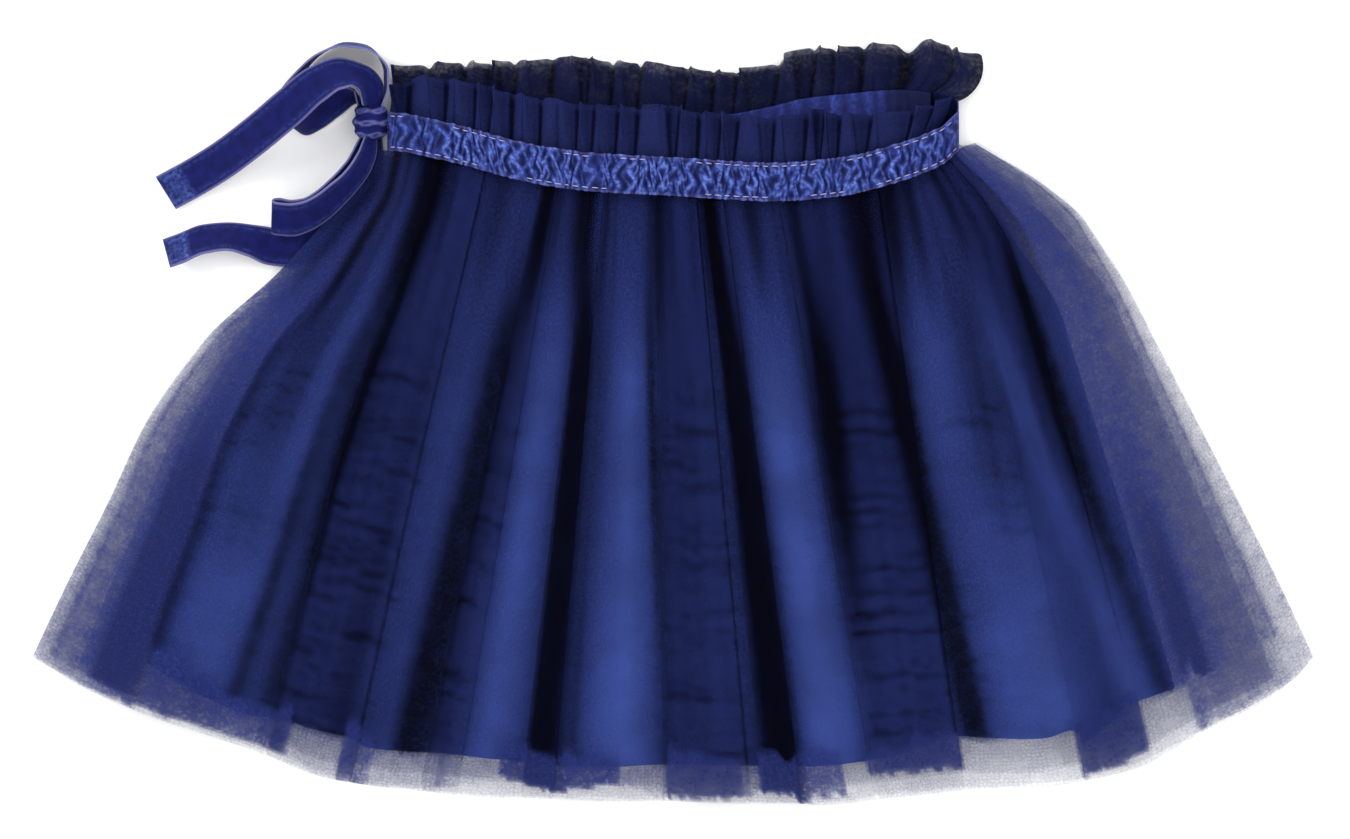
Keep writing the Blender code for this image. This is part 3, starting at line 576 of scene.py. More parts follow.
def wear(piece, slot, *nodes):
    """Put a piece on the skirt in place of its solid."""
    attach(piece, "root")
    if nodes:
        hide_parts(*nodes)


def join(tree, node, inputs):
    """Set a node's inputs to values, or link them to outputs."""
    for key, value in inputs.items():
        if isinstance(value, bpy.types.NodeSocket):
            tree.links.new(value, node.inputs[key])
        else:
            node.inputs[key].default_value = value


def add(tree, kind, inputs, out=0, **settings):
    """Add a node with its settings and inputs, and give one of its outputs.

    Some inputs go by number: 0 to 2 in sums, 0 for the share of a mix with 6 and 7 for its two
    colours, and 0 for a range's value, 1 and 2 for where it starts and ends, 3 and 4 for where it goes.
    """
    made = tree.nodes.new(kind)
    for key, value in settings.items():
        setattr(made, key, value)
    join(tree, made, inputs)
    return made.outputs[out]


def new_finish(name):
    """Start a material and give it with its tree and shader."""
    made = bpy.data.materials.new(name)
    made.use_nodes = True
    return made, made.node_tree, made.node_tree.nodes["Principled BSDF"]


def soft_net(name, own, shaded_colour, glint_strength=0.22, contrast=0.75):
    """Nylon tulle, knitted and soft. Each layer covers an eighth of what lies behind it.

    Its colour is painted: blue where it is thin, darkened with painted shade to nearly black in a heap, and
    with a painted glint on its threads.
    The real cells are about 1 mm across and are drawn 1.5 mm wide so that they show.
    """
    made, tree, shader = new_finish(name)
    flat = add(tree, "ShaderNodeUVMap", {}, uv_map="cloth")
    cells = add(tree, "ShaderNodeTexVoronoi", {"Vector": flat, "Scale": 1 / NET_CELL, "Randomness": 0.8},
                feature="DISTANCE_TO_EDGE", voronoi_dimensions="2D")
    cloud = add(tree, "ShaderNodeTexNoise", {"Vector": flat, "Scale": 1 / NET_CLOUD, "Detail": 4.0},
                noise_dimensions="2D")
    grain = add(tree, "ShaderNodeTexNoise", {"Vector": flat, "Scale": 1 / NET_GRAIN, "Detail": 2.0},
                noise_dimensions="2D")
    layers = add(tree, "ShaderNodeAttribute", {}, "Fac", attribute_name="layers")
    shade_heap = add(tree, "ShaderNodeAttribute", {}, "Fac", attribute_name="shade_heap")

    # The cover of one layer is uneven, and its cells fade where many layers lie on each other
    threads = add(tree, "ShaderNodeMapRange", {0: cells, 1: 0.02, 2: 0.2, 3: 1.0, 4: 0.0})
    fading = add(tree, "ShaderNodeMapRange", {0: layers, 1: 2.0, 2: 8.0, 3: contrast, 4: 0.3 * contrast})
    weight = add(tree, "ShaderNodeMath", {0: threads, 1: 0.45}, operation="SUBTRACT")
    weight = add(tree, "ShaderNodeMath", {0: weight, 1: fading, 2: 1.0}, operation="MULTIPLY_ADD")
    for pattern, least, most in ((grain, 0.75, 1.25), (cloud, 0.78, 1.22)):
        spread = add(tree, "ShaderNodeMapRange", {0: pattern, 1: 0.3, 2: 0.7, 3: least, 4: most})
        weight = add(tree, "ShaderNodeMath", {0: weight, 1: spread}, operation="MULTIPLY")
    cover = add(tree, "ShaderNodeMath", {0: weight, 1: LAYER_COVER}, operation="MULTIPLY", use_clamp=True)
    open_share = add(tree, "ShaderNodeMath", {0: 1.0, 1: cover}, operation="SUBTRACT")
    through_all = add(tree, "ShaderNodeMath", {0: open_share, 1: layers}, operation="POWER")
    alpha = add(tree, "ShaderNodeMath", {0: 1.0, 1: through_all}, operation="SUBTRACT", use_clamp=True)

    # Painted shade deepens the colour with the heap, and a painted glint lights the threads where it is
    # thin
    depth = add(tree, "ShaderNodeMapRange", {0: shade_heap, 1: 2.5, 2: 12.5}, interpolation_type="SMOOTHSTEP")
    shallow = add(tree, "ShaderNodeMath", {0: 1.0, 1: depth}, operation="SUBTRACT")
    # Painted glint: the threads are painted paler where the net is thin
    painted_glint = add(tree, "ShaderNodeMapRange", {0: grain, 1: 0.35, 2: 0.7, 3: 0.0, 4: glint_strength})
    painted_glint = add(tree, "ShaderNodeMath", {0: threads, 1: painted_glint}, operation="MULTIPLY")
    painted_glint = add(tree, "ShaderNodeMath", {0: painted_glint, 1: shallow}, operation="MULTIPLY")
    body = add(tree, "ShaderNodeMix", {0: depth, 6: linear(own), 7: linear(shaded_colour)}, 2, data_type="RGBA")
    colour = add(tree, "ShaderNodeMix", {0: painted_glint, 6: body, 7: linear(NET_PAINTED_GLINT)}, 2, data_type="RGBA")
    join(tree, shader, {"Base Color": colour, "Alpha": alpha, "Roughness": 0.9,
                        "Specular IOR Level": 0.0})
    return made


def woven_satin(name, colour):
    """Polyester satin, woven with long floats. It gives a soft lustre along the folds.

    Its threads are about 0.1 mm and are drawn 1.1 mm wide, very faint.
    """
    made, tree, shader = new_finish(name)
    flat = add(tree, "ShaderNodeUVMap", {}, uv_map="cloth")
    cloud = add(tree, "ShaderNodeTexNoise", {"Vector": flat, "Scale": 1 / SATIN_CLOUD, "Detail": 3.0},
                noise_dimensions="2D")
    cloud = add(tree, "ShaderNodeMapRange", {0: cloud, 1: 0.3, 2: 0.7})
    body = add(tree, "ShaderNodeMix", {0: cloud, 6: linear(colour, 0.8), 7: linear(colour, 1.25)}, 2,
               data_type="RGBA")
    threads = add(tree, "ShaderNodeTexWave", {"Vector": flat, "Scale": 1 / SATIN_THREAD, "Distortion": 1.5},
                  "Fac", bands_direction="X")
    relief = add(tree, "ShaderNodeBump", {"Height": threads, "Strength": 0.12, "Distance": 0.2 * MM})
    join(tree, shader, {"Base Color": body, "Normal": relief, "Roughness": 0.5,
                        "Specular IOR Level": 0.12})
    return made


def cut_velvet(name, colour, crest_highlight_colour, edge_colour):
    """Velvet ribbon, woven with a cut pile, painted paler on its crushed crests, partly as highlight, and
    darker in its hollows as painted shade.
    """
    made, tree, shader = new_finish(name)
    flat = add(tree, "ShaderNodeUVMap", {}, uv_map="cloth")
    crest_highlight, hollow_shade, edge = [add(tree, "ShaderNodeAttribute", {}, "Fac", attribute_name=mark)
                           for mark in ("crest_highlight", "hollow_shade", "selvedge")]
    nap, streaks, pile = [
        add(tree, "ShaderNodeTexNoise", {"Vector": flat, "Scale": 1 / size, "Detail": detail},
            noise_dimensions="2D")
        for size, detail in ((NAP, 4.0), (NAP_STREAK, 3.0), (PILE, 2.0))]
    nap = add(tree, "ShaderNodeMapRange", {0: nap, 1: 0.3, 2: 0.7})
    streaks = add(tree, "ShaderNodeMapRange", {0: streaks, 1: 0.36, 2: 0.62, 3: 0.2, 4: 1.0})
    # Painted highlight on the crests, partly the paler crushed pile, broken up by streaks
    crushed_highlight = add(tree, "ShaderNodeMath", {0: crest_highlight, 1: streaks}, operation="MULTIPLY", use_clamp=True)
    body = add(tree, "ShaderNodeMix", {0: nap, 6: linear(colour, 0.8), 7: linear(colour, 1.3)}, 2,
               data_type="RGBA")
    # Painted shade in the hollows, painted highlight on the crests, and the woven edges
    for share, laid_on in ((hollow_shade, VELVET_PAINTED_SHADE), (crushed_highlight, crest_highlight_colour), (edge, edge_colour)):
        body = add(tree, "ShaderNodeMix", {0: share, 6: body, 7: linear(laid_on)}, 2, data_type="RGBA")
    relief = add(tree, "ShaderNodeBump", {"Height": pile, "Strength": 0.35, "Distance": 0.4 * MM})
    join(tree, shader, {"Base Color": body, "Normal": relief, "Roughness": 0.75,
                        "Specular IOR Level": 0.12, "Sheen Weight": 0.15, "Sheen Roughness": 0.4,
                        "Sheen Tint": linear(PILE_SHEEN)})
    return made


def spun_thread(name, colour):
    """Polyester sewing thread, twisted and slightly glossy."""
    made, tree, shader = new_finish(name)
    place = add(tree, "ShaderNodeTexCoord", {}, "Object")
    twist = add(tree, "ShaderNodeTexNoise", {"Vector": place, "Scale": 1 / (THREAD_TWIST * MM)})
    body = add(tree, "ShaderNodeMix", {0: twist, 6: linear(colour, 0.7), 7: linear(colour)}, 2,
               data_type="RGBA")
    join(tree, shader, {"Base Color": body, "Roughness": 0.5})
    return made


def matt_paper(name, colour):
    """Uncoated white paper, matt and very faintly mottled."""
    made, tree, shader = new_finish(name)
    place = add(tree, "ShaderNodeTexCoord", {}, "Object")
    grain = add(tree, "ShaderNodeTexNoise", {"Vector": place, "Scale": 1 / (PAPER_GRAIN * MM)})
    body = add(tree, "ShaderNodeMix", {0: grain, 6: linear(colour, 0.99), 7: linear(colour)}, 2,
               data_type="RGBA")
    join(tree, shader, {"Base Color": body, "Roughness": 0.9, "Specular IOR Level": 0.1})
    return made


def pleated_lines(pleats, left, right, pitch):
    """Lines across a panel, with its pleats folded: each line's hem_x and its layer."""
    path = np.array(PLEAT_PATH)
    hem_x, layer = [], []
    last = left
    for fold_left, fold_right in [*pleats, (right, right)]:
        count = max(2, round((fold_left - last) / pitch))
        hem_x += list(np.linspace(last, fold_left, count, endpoint=False))[1 if hem_x else 0:]
        layer += [0.0] * (len(hem_x) - len(layer))
        if fold_right > fold_left:
            width = fold_right - fold_left
            run = run_along(path * (width, PLEAT_PITCH))
            steps = np.linspace(0, run[-1], max(24, round(run[-1] / pitch)))
            steps = np.unique(np.concatenate([steps, run]))
            hem_x += list(fold_left + width * np.interp(steps, run, path[:, 0]))
            layer += list(np.interp(steps, run, path[:, 1]))
        last = fold_right
    return np.array(hem_x + [right]), np.array(layer + [0.0])


def squeezed(lines, sides, down):
    """Crowd a sheet's outer lines inwards towards the waist."""
    left_top, left_hem, right_top, right_hem = sides
    placed = np.broadcast_to(lines, np.broadcast(lines, down).shape).copy()
    for side, top, hem in ((-1, -left_top, -left_hem), (1, right_top, right_hem)):
        edge = top + (hem - top) * ease(down / 0.3)
        moved = STILL_WIDTH + (np.abs(lines) - STILL_WIDTH) * (edge - STILL_WIDTH) / (hem - STILL_WIDTH)
        placed = np.where((np.sign(lines) == side) & (np.abs(lines) > STILL_WIDTH), side * moved, placed)
    return placed


def between(table, hem_x, down):
    """Read a table that has one value high up the skirt and another low down."""
    return blend(through(table, hem_x, 1), through(table, hem_x, 2), ease((down - 0.36) / 0.48))


def bunched_and_shaded(hem_x, down):
    """Layers added by the troughs, partly bunched net and partly painted shade, which fan out slightly
    towards the hem.
    """
    low = (down - 0.42) / 0.40
    total = 0.0
    for high_x, low_x, width, high_layers, low_layers in TROUGHS:
        place = high_x + (low_x - high_x) * low
        strength = high_layers + (low_layers - high_layers) * np.clip(low, 0, 1)
        total = total + strength * bell((hem_x - place) / width)
    return total


def crinkled(hem_x, down):
    """Fine crinkles across the flat bands of net."""
    total = 0.0
    for seed, left, right in CRINKLED_BANDS:
        inside = ease((hem_x - left) / 8) * ease((right - hem_x) / 8)
        bend = 1.8 * np.sin(hem_x * 0.11 + seed) + 0.7 * np.sin(hem_x * 0.43 + 2 * seed)
        along = down * SKIRT_LENGTH + bend
        for part, pitch in enumerate(CRINKLE_PITCHES):
            turn = along / pitch + 1.2 * wander(seed + part, along, 17.0)
            strength = wander(seed + 10 + part, np.floor(turn) * 7.3 + hem_x * 0.04, 1.0)
            total = total + inside * ease((strength - 0.3) / 0.5) * bell(((turn % 1.0) - 0.5) / 0.12)
    return np.minimum(total * ease((down - 0.26) / 0.15), 1.1)


def faint_crinkles(hem_x, down):
    """Fainter crinkles across the whole front."""
    along = down * SKIRT_LENGTH + 1.2 * np.sin(hem_x * 0.13) + 0.5 * np.sin(hem_x * 0.51)
    turn = along / FAINT_PITCH + 1.4 * wander(91, along, 13.0) + 0.8 * wander(92, hem_x, 24.0)
    strength = wander(93, np.floor(turn) * 5.3 + hem_x * 0.05, 1.0)
    return strength * bell(((turn % 1.0) - 0.5) / 0.2) * ease((down - 0.12) / 0.2)


def outer_front_layers(lines, down, creases, pleats, at_waist):
    """Layers of net at each point of the front outer net, and the heap that sets its painted shade."""
    at_left = ease((-lines - 196) / 14)

    # The folds with the streaks, crinkles and creases on them
    layers = np.maximum(between(OUTER_LAYERS, lines, down) + bunched_and_shaded(lines, down), 1.0)
    layers = layers + STREAK_LAYERS * (wander(95, lines + 3 * down, STREAK_WIDTH) - 0.35)
    layers = layers + CRINKLE_LAYERS * crinkled(lines, down) + FAINT_LAYERS * faint_crinkles(lines, down)
    # The creases' troughs get more layers, as painted shade
    layers = layers + CREASE_SHADE_LAYERS * np.abs(np.minimum(creases, 0))

    # The gathers below the casing, which run further down at the left side
    gathered = at_waist * (1 - ease((lines - 206) / 34))
    gathered = np.maximum(gathered, at_left * (1 - ease((down - 0.20) / 0.20)))
    # Painted shade: more layers where the gathers dip and along the dark lines between them
    crowded = WAIST_LAYERS + 0.8 * (1 - gather(lines, down) / GATHER_HEIGHT)
    for place, width, more in WAIST_TROUGHS:
        crowded = crowded + more * bell((lines - place) / (width * (0.7 + 0.9 * at_waist)))
    layers = blend(layers, crowded, gathered)

    # Outside the lining the net's painted shade is lighter: its heap is a share of its layers
    outside = ease((np.abs(lines + LINING_OFF_CENTRE) - LINING_HALF) / 6)
    outside = outside * (1 - at_left * (1 - ease((down - 0.18) / 0.16)))
    shade_heap = blend(layers, np.clip(OUTSIDE_SHADE_SHARE * layers, *OUTSIDE_SHADE_RANGE), outside)
    layers = layers + (4.0 + 8.0 * at_left) * gathered + 2.0 * outside * ease((242 - np.abs(lines)) / 8)

    # Below the lining's hem the pleats are blocks, which end in a frayed edge above the net's hem
    hem_line = 1 - through(LINING_SHORT, lines) / SKIRT_LENGTH
    blocks = through(HEM_LAYERS, lines)
    lapped = ease((blocks - 8) / 4) * (0.4 + 0.8 * wander(12, lines, 5.0)) * (1 + 0.5 * at_left)
    below = ease((down - hem_line + 0.004 + 0.034 * lapped) / (0.012 + 0.012 * lapped))
    below = below * (1 - ease((-lines - 222) / 8) * ease((0.985 - down) / 0.01))
    fray = 1.6 * (wander(8, lines, 0.9) - 0.5) + 1.4 * (wander(9, lines, 4.0) - 0.5)
    fringe = ease((down - 1 + (through(BLOCK_ENDS, lines) + fray) / SKIRT_LENGTH) / 0.005)
    blocks = blend(blocks, np.minimum(blocks, FRINGE_LAYERS), fringe)
    # Below the lining's hem the painted shade is a lighter share of the blocks' layers
    shade_heap = blend(shade_heap, np.clip(HEM_SHADE_SHARE * blocks, *HEM_SHADE_RANGE), below)
    layers = blend(layers, blocks, below)

    # The folded edges of the pleats get the darkest painted shade
    folded = np.abs(pleats - np.round(pleats)) > 0.02
    return layers, shade_heap + FOLDED_EDGE_SHADE * folded * (1 - below)


def net_layers(name, lines, down, creases, pleats):
    """How many layers of net lie at each point on this surface, and the heap that sets its painted shade.
    """
    at_waist = 1 - ease((down - 0.04) / 0.30)
    outside_lining = ease((np.abs(lines) - 222) / 14)
    shade_heap = UNDER_SHADE_HEAP
    if name == "net_outer_front":
        layers, shade_heap = outer_front_layers(lines, down, creases, pleats, at_waist)
    elif name == "net_under_front":
        layers = 1.0 + 1.5 * at_waist
    elif name == "net_under_back":
        layers = 1.0 + 1.2 * outside_lining + 1.0 * at_waist
    else:
        hidden = ease((212 - np.abs(lines)) / 8) * ease((0.93 - down) / 0.02)
        folds = through(BACK_LAYERS, lines) + 4.0 * at_waist
        # On the back outer net the layers also set its painted shade
        layers = shade_heap = blend(1.0 + 1.2 * outside_lining + 2.0 * at_waist, folds, hidden)
    # A pleat's three surfaces share its layers
    shared = (pleats > 0) & (np.roll(pleats, 1, axis=1) > 0)
    return layers / np.where(shared, 3.0, 1.0), shade_heap


def skirt_sheet(name, cloth, on_front, level, share, *sides):
    """One of the six panels, as fine points and what is marked on them."""
    is_net = name.startswith("net")
    pitch = NET_LINES if is_net else LINING_LINES
    fan, layer = pleated_lines(PLEATS.get(name, ()), sides[1], sides[3], pitch)
    if is_net:
        tucked = (layer > 0) * (1 - ease((layer - 1.2) / 0.6))
        reach, short = (1.0, OUTER_PLEAT_SHORT) if "outer" in name else (UNDER_REACH, UNDER_PLEAT_SHORT)
        ends = np.minimum(reach - short * tucked + UNEVEN_HEM * (wander(11 + level, fan, 17.0) - 0.5), 1.0)
    else:
        ends = 1 - through(LINING_SHORT, fan) / SKIRT_LENGTH
    rows = FRONT_ROWS if on_front else BACK_ROWS
    down = np.linspace(0, 1, rows)[:, None] ** 1.05 * ends[None, :]
    lines = squeezed(fan[None, :], sides, down)
    x, y = skirt_plan(on_front, lines, down)
    creases = creased(CREASES if on_front else BACK_CREASES, lines, down)
    if on_front:
        z = front_height(level, share, lines, down)
        z = z + creases * (OUTER_CREASE if name == "net_outer_front" else INNER_CREASE)
    else:
        z = back_height(level, lines, down) + np.maximum(creases, 0) * BACK_CREASE
    z = z + PLEAT_LIFT.get(name, 0.0) * layer[None, :] + side_lift(lines, down)
    if name == "net_outer_front":
        z = z + gather(lines, down)
    marks = {}
    if is_net:
        marks["layers"], marks["shade_heap"] = net_layers(name, lines, down, creases, layer[None, :])
    name = name.replace("net_", "tulle_").replace("lining", "satin_lining")
    return surface(name, points_at(x, y, z), cloth, marks)


def frill(name, on_front, cloth):
    """The frill of doubled net above the casing: its flutes open upwards and lap over each other."""
    flutes = FRONT_FLUTES if on_front else BACK_FLUTES
    reach_right = FRONT_FRILL_RIGHT if on_front else BACK_FRILL_RIGHT
    seed = 20 if on_front else 40
    along = np.linspace(0, 1, flutes * 22 + 1)[None, :]
    up = np.linspace(1, -1, 26)[:, None]
    open_up = np.maximum(0.0, up) ** 0.8
    x = -FRILL_LEFT + (FRILL_LEFT + reach_right) * along
    turned = 0.0 if on_front else ease((x - 102) / 17)
    flare = (4.0 if on_front else 17.0 * (1.5 - open_up)) * open_up * ease((x - 80) / 37)
    flare = flare - 1.0 * open_up * ease((-x - 90) / 24)
    place = flutes * (along + 0.013 * np.sin(31 * along + 1.0) + 0.006 * np.sin(73 * along))
    own = wander(seed, place, 1.0)
    turn = 2 * math.pi * place + 0.5
    tall = through(HEADING_FRONT if on_front else HEADING_BACK, x)
    tall = tall * (0.95 + 0.1 * own) * (1 - 0.15 * turned)
    swell = ((1 - np.cos(turn)) / 2) ** 0.8
    lean = (1.2 + 1.6 * wander(seed + 1, place, 1.0)) * open_up * np.sin(turn)
    fine = 0.35 * open_up * np.sin(3 * turn + 6 * own)
    inside = ease((np.where(x > 0, reach_right, FRILL_LEFT) - np.abs(x)) / 12)
    high = (0.65 + 0.5 * own) * swell * inside
    if on_front:
        z = FRONT_FRILL_LEVEL + 0.6 * open_up - ring_drop(x, FRILL_RING, FRILL_RING_END, 5.0)
        z = z + (FRONT_FRILL_SWELL * open_up + 0.3) * high + fine
    else:
        z = BACK_FRILL_LEVEL + ring_drop(x, FRILL_RING, FRILL_RING_END, 2.6)
        z = z + (BACK_FRILL_SWELL * open_up + 0.1) * high + np.maximum(fine, 0)
    notch = bell(((place + 0.42) % 1.0 - 0.5) / 0.055) * (0.2 + 0.8 * wander(seed + 3, place, 1.0))
    ragged = open_up * (0.9 * (swell - 0.5) - (1.6 if on_front else 2.4) * notch)
    root = CASING_HEIGHT + SEAM_GAP
    y = casing_low(on_front, x + flare) + root + ragged
    y = y + np.where(up > 0, tall * up, (root - FRILL_ROOT_INSET) * up)
    edge = ease((up - 0.86) / 0.1)
    sheer = edge * (0.15 + 0.85 * wander(seed + 2, place, 0.8) ** 2)
    # Painted shade: darker in the valleys between the flutes, away from their swells and low down, and
    # lighter at the sheer top edge
    valley_shade = bell((place % 1.0 - 0.08 - 0.1 * up * (own - 0.5)) / 0.06)
    valley_shade = valley_shade + 0.6 * bell((place % 1.0 - 0.6 * own - 0.3) / 0.05)
    shade_heap = 3.5 + 4.0 * (1 - swell) ** 2 + 7.0 * valley_shade * (1 - 0.5 * edge)
    shade_heap = shade_heap + 2.5 * ease(0.25 - up) - 1.5 * edge
    return surface(name, points_at(x + lean + flare, y, z), cloth,
                   {"layers": FRILL_LAYERS - 20.0 * sheer, "shade_heap": shade_heap})


def casing(name, on_front, cloth):
    """The ribbon casing, drawn up by its elastic into uneven crinkles, and its points."""
    along = np.linspace(0, 1, CASING_CRINKLES * 14 + 1)[None, :]
    up = np.linspace(1, 0, 22)[:, None]
    x = -CASING_REACH + 2 * CASING_REACH * along
    place = CASING_CRINKLES * (along + 0.004 * np.sin(41 * along) + 0.003 * np.sin(97 * along))
    zig = 0.26 * np.sin(9.5 * up + 14 * wander(62, place, 1.3))
    zig = zig + (wander(61, place, 1.0) - 0.5) * 1.5 * (up - 0.5)
    large = wave(place + zig)
    zag = 0.3 * np.sin(11 * up + 12 * wander(65, place, 1.1))
    zag = zag + (wander(64, place, 1.0) - 0.5) * 1.3 * (0.5 - up)
    small = wave(1.6 * place + zag)
    strength = 0.55 + 0.45 * wander(63, place, 1.0)
    sewn = 1 - 0.55 * bell((up - STITCH_ROWS[0]) / 0.05) - 0.55 * bell((up - STITCH_ROWS[1]) / 0.05)
    raised = (1.7 * large * strength + 0.5 * small) * sewn * ease((CASING_REACH - np.abs(x)) / 6)
    y = casing_low(on_front, x) + CASING_HEIGHT * up
    y = y + 0.35 * (large - 0.5) * np.sign(up - 0.5) * np.abs(2 * up - 1) ** 4
    if on_front:
        z = CASING_FRONT_INSIDE + 0.9 - ring_drop(x, CASING_REACH, 11, CASING_FRONT_INSIDE - RING_END)
        z = z + raised + CASING_PUFF * (1 - (2 * up - 1) ** 2)
    else:
        z = 0.85 + ring_drop(x, CASING_REACH, 7, 4.4) - 0.25 * raised
    # Painted shade: the crests' highlights fade towards the casing's ends, where it turns down
    dim = 0.45 + 0.55 * ease((x + 118) / 30) * ease((126 - x) / 30)
    # Painted highlights on the crinkles' crests, partly the paler crushed pile and fewer at the stitch
    # rows, with painted shade in their hollows
    crest_highlight = (1.2 * small ** 6 - 0.1) * wander(66, place, 0.7)
    crest_highlight = np.maximum(1.35 * large ** 5 * strength - 0.15, crest_highlight)
    marks = {"crest_highlight": np.clip(crest_highlight, 0, 1) * (0.4 + 0.6 * sewn) * dim,
             "hollow_shade": ((1 - large) * (1 - 0.6 * small)) ** 1.5 * (0.5 + 0.5 * strength),
             "selvedge": 0.25 * bell((up - 1) / 0.04) + 0.25 * bell(up / 0.04)}
    points = points_at(x, y, z)
    return surface(name, points, cloth, marks, wall=0.5), points


def stitches(name, points, cloth):
    """Two rows of straight stitches along the casing, hidden in places by its crinkles."""
    sides = 6
    turn = np.arange(sides) * 2 * math.pi / sides
    corners, faces = [], []
    for row, share in enumerate(STITCH_ROWS):
        line = points[round(share * (points.shape[0] - 1))]
        run = run_along(line)
        count = int(run[-1] / (STITCH_LENGTH + STITCH_GAP))
        shown = wander(71 + row, np.arange(count), 3.0) > 0.38
        for i in np.flatnonzero(shown):
            base = len(corners)
            for part, lift, taper in STITCH_SECTIONS:
                at = i * (STITCH_LENGTH + STITCH_GAP) + part * STITCH_LENGTH
                x, y, z = [np.interp(at, run, line[:, k]) for k in range(3)]
                thick = STITCH_THICKNESS / 2 * taper
                corners += [(x * MM, (y + thick * math.cos(a)) * MM, (z + lift + thick * math.sin(a)) * MM)
                            for a in turn]
            for k in range(2):
                for s in range(sides):
                    a, b = base + k * sides + s, base + k * sides + (s + 1) % sides
                    faces.append((a, b, b + sides, a + sides))
            faces.append(tuple(base + s for s in reversed(range(sides))))
            faces.append(tuple(base + 2 * sides + s for s in range(sides)))
    return new_piece(name, corners, faces, cloth)


def inside_band(cloth):
    """The band inside the back of the waist, with the seam where its ends meet."""
    along = np.linspace(0, 1, 421)[None, :]
    up = np.linspace(1, 0, 14)[:, None]
    x = -BAND_REACH + (2 * BAND_REACH + 4.0) * along
    y = casing_low(False, x) + 1.5 + (CASING_HEIGHT - 2.0) * up
    place = 34 * along + 0.5 * np.sin(20 * along)
    pucker = wave(place + 0.4 * wander(81, place, 1.0) * up)
    seam = bell((x - BAND_SEAM_X) / 0.9)
    z = 3.7 + 0.8 * pucker * (0.5 + 0.5 * wander(82, place, 1.0)) + 0.6 * seam
    shade = ease((x - 82) / 14)
    # Painted highlight on the puckers and the seam, and painted shade towards the band's right end
    marks = {"crest_highlight": (0.3 * pucker + 0.5 * seam) * (1 - shade), "hollow_shade": 0.75 * shade}
    return surface("waist_band_inside_back", points_at(x, y, z), cloth, marks, wall=0.5)


def ribbon(name, stations, cloth, turned_end):
    """A stretch of the drawstring along its stations, with its woven edges and any turned end."""
    keys = np.arange(len(stations))
    steps = np.linspace(0, keys[-1], keys[-1] * 8 + 1)
    x, y, z, across, tilt, width = [through(np.column_stack([keys, column]), steps)
                                    for column in zip(*stations)]
    side = np.linspace(1, -1, 15)[:, None]
    turn, lean = np.radians(across), np.radians(tilt)
    reach = side * width / 2
    run = run_along(np.stack([x, y, z], axis=1))
    end = turned_end * ease((TURNED_END - run) / 0.6)[None, :]
    fold = turned_end * bell((run - TURNED_END) / 0.7)[None, :]
    points = points_at(x + reach * np.cos(turn) * np.cos(lean), y + reach * np.sin(turn) * np.cos(lean),
                       z + reach * np.sin(lean) + RIBBON_CUP * side ** 2 * np.cos(lean) - 0.25 + 0.5 * end)
    # Paler on the turned end, with a painted highlight on its fold and along each side near the edge
    marks = {"selvedge": 0.9 * ease((np.abs(side) - 0.86) / 0.08),
             "crest_highlight": np.clip(0.22 * end + 0.5 * fold, 0, 1) + 0.12 * bell((np.abs(side) - 0.7) / 0.1)}
    return surface(name, points, cloth, marks, wall=0.8)


def knot(cloth):
    """The knot: ribbon wrapped tightly round itself, with its creases running round it."""
    v = np.linspace(0.04, 0.96, 40)[:, None] * math.pi
    u = np.linspace(0, 2 * math.pi, 64)[None, :]
    along = np.cos(v)
    radius = np.sin(v) ** 0.55
    wraps = 0.07 * np.cos(3 * math.pi * along + 1.4 * np.sin(u)) + 0.03 * np.sin(5 * u + 6 * along)
    x = KNOT_CENTRE[0] + KNOT_SIZE[0] * 0.52 * radius * np.cos(u) * (1 + wraps)
    y = KNOT_CENTRE[1] + KNOT_SIZE[1] * 0.6 * along
    z = KNOT_CENTRE[2] + KNOT_SIZE[2] * 0.46 * radius * np.sin(u) * (1 + wraps)
    # Painted highlights on the ridges of the wraps
    marks = {"crest_highlight": np.clip(4 * wraps, 0, 1), "selvedge": 0.6 * bell((wraps - 0.05) / 0.02)}
    return surface("drawstring_knot", points_at(x, y, z), cloth, marks)


def floor(cover):
    """A plain pale floor."""
    bpy.ops.mesh.primitive_plane_add(size=8.0, location=(0, 0, -0.0004))
    made = bpy.context.active_object
    made.name = "floor"
    made.data.materials.append(cover)


def light(name, place, size, power):
    """A soft area light that faces the skirt."""
    lamp = bpy.data.lights.new(name, "AREA")
    lamp.shape = "DISK"
    lamp.size = size
    lamp.energy = power
    made = bpy.data.objects.new(name, lamp)
    made.location = place
    x, y, z = place
    made.rotation_euler = (math.atan2(math.hypot(x, y), z), 0, math.atan2(x, -y))
    bpy.context.scene.collection.objects.link(made)


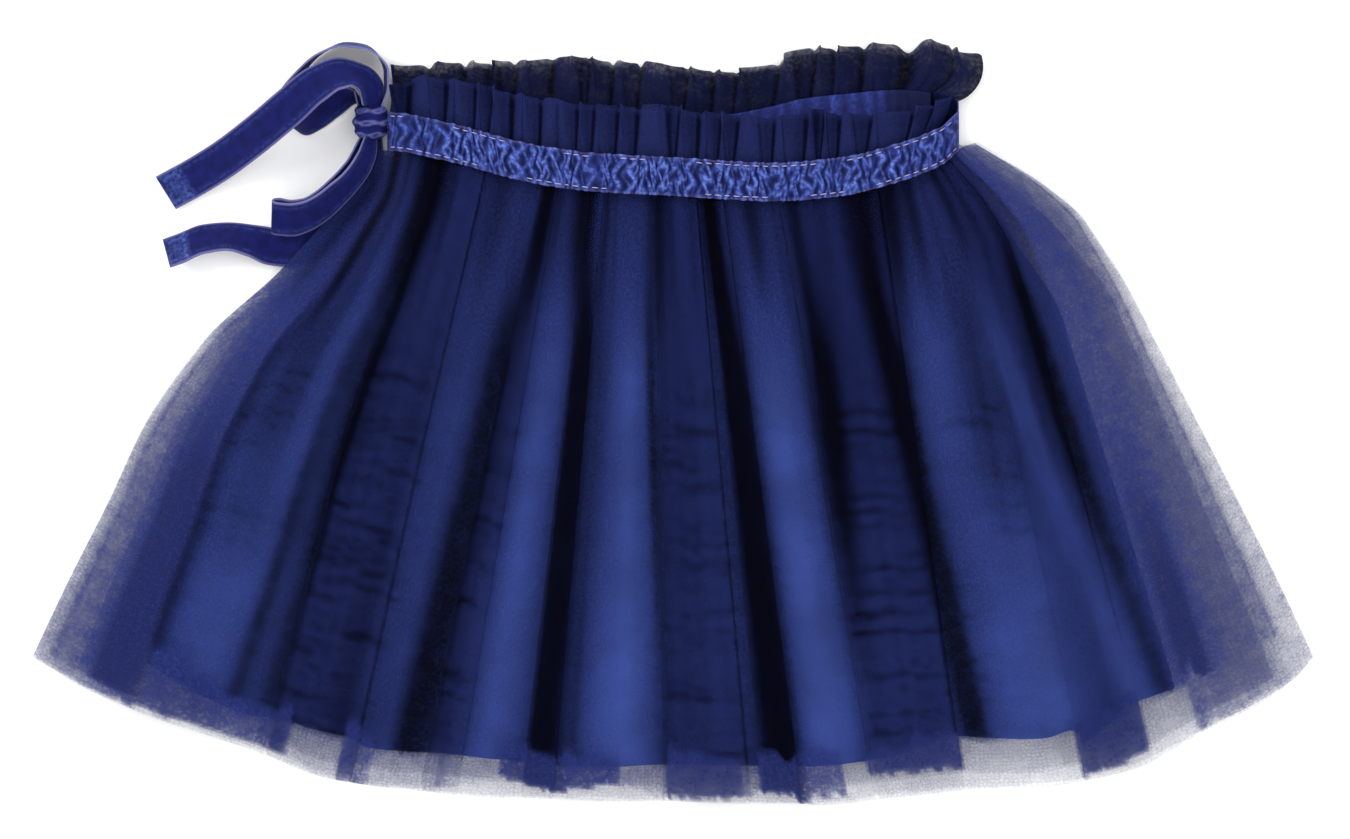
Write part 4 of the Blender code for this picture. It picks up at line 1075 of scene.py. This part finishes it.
def studio():
    """Soft light from all round, a key light from the upper left, and the camera overhead."""
    scene = bpy.context.scene
    scene.view_settings.view_transform = "Standard"
    scene.cycles.transparent_max_bounces = 40
    world = bpy.data.worlds.new("studio")
    world.use_nodes = True
    join(world.node_tree, world.node_tree.nodes["Background"], {0: (1, 1, 1, 1), 1: WORLD_STRENGTH})
    scene.world = world
    light("key", (-1.1, 0.7, 1.0), 0.7, KEY_POWER)
    light("fill", (1.2, -0.2, 1.3), 1.2, FILL_POWER)
    lens = bpy.data.cameras.new("overhead")
    lens.sensor_width = SENSOR
    lens.lens = SENSOR * CAMERA_HEIGHT / PHOTO_WIDTH
    lens.clip_end = 20.0
    camera = bpy.data.objects.new("overhead", lens)
    camera.location = (CAMERA_X * MM, CAMERA_Y * MM, CAMERA_HEIGHT * MM)
    scene.collection.objects.link(camera)
    scene.camera = camera


def main():
    net = soft_net("nylon_tulle_navy", NET_BLUE, NET_SHADED)
    satin = woven_satin("polyester_satin_royal_blue", SATIN_BLUE)
    velvet = cut_velvet("cut_velvet_ribbon_blue", VELVET_BLUE, VELVET_CREST_HIGHLIGHT, SELVEDGE)
    casing_velvet = cut_velvet("crushed_velvet_casing_blue", CASING_BLUE, VELVET_CREST_HIGHLIGHT, SELVEDGE)
    thread = spun_thread("polyester_thread_lilac", THREAD_LILAC)

    for name, slot, *place in SHEETS:
        piece = skirt_sheet(name, satin if slot == "lining_satin" else net, *place)
        wear(piece, slot, name)
    for side, on_front, *finish in FRILLS:
        piece = frill(f"tulle_frill_{side}", on_front, soft_net(*finish, 0.06, 0.3))
        wear(piece, "outer_net", f"heading_{side}")
        piece, points = casing(f"velvet_casing_{side}", on_front, casing_velvet)
        wear(piece, "ribbon_velvet", f"casing_{side}")
        if on_front:
            sewn = stitches("casing_stitches_front", points, thread)
            wear(sewn, "ribbon_velvet")
    piece = inside_band(cut_velvet("velvet_band_blue", BAND_BLUE, BAND_CREST_HIGHLIGHT, BAND_EDGE))
    wear(piece, "lining_satin", "band_inside_back")
    wear(knot(velvet), "ribbon_velvet", "tie_knot")
    for node, stations in (("tie_tail_upper", TAIL_UPPER), ("tie_tail_lower", TAIL_LOWER),
                           ("tie_loop_upper", LOOP_UPPER), ("tie_loop_lower", LOOP_LOWER)):
        piece = ribbon(node.replace("tie_", "drawstring_"), stations, velvet, "tail" in node)
        wear(piece, "ribbon_velvet", node)
    floor(matt_paper("matt_paper", FLOOR_PALE))
    studio()


main()
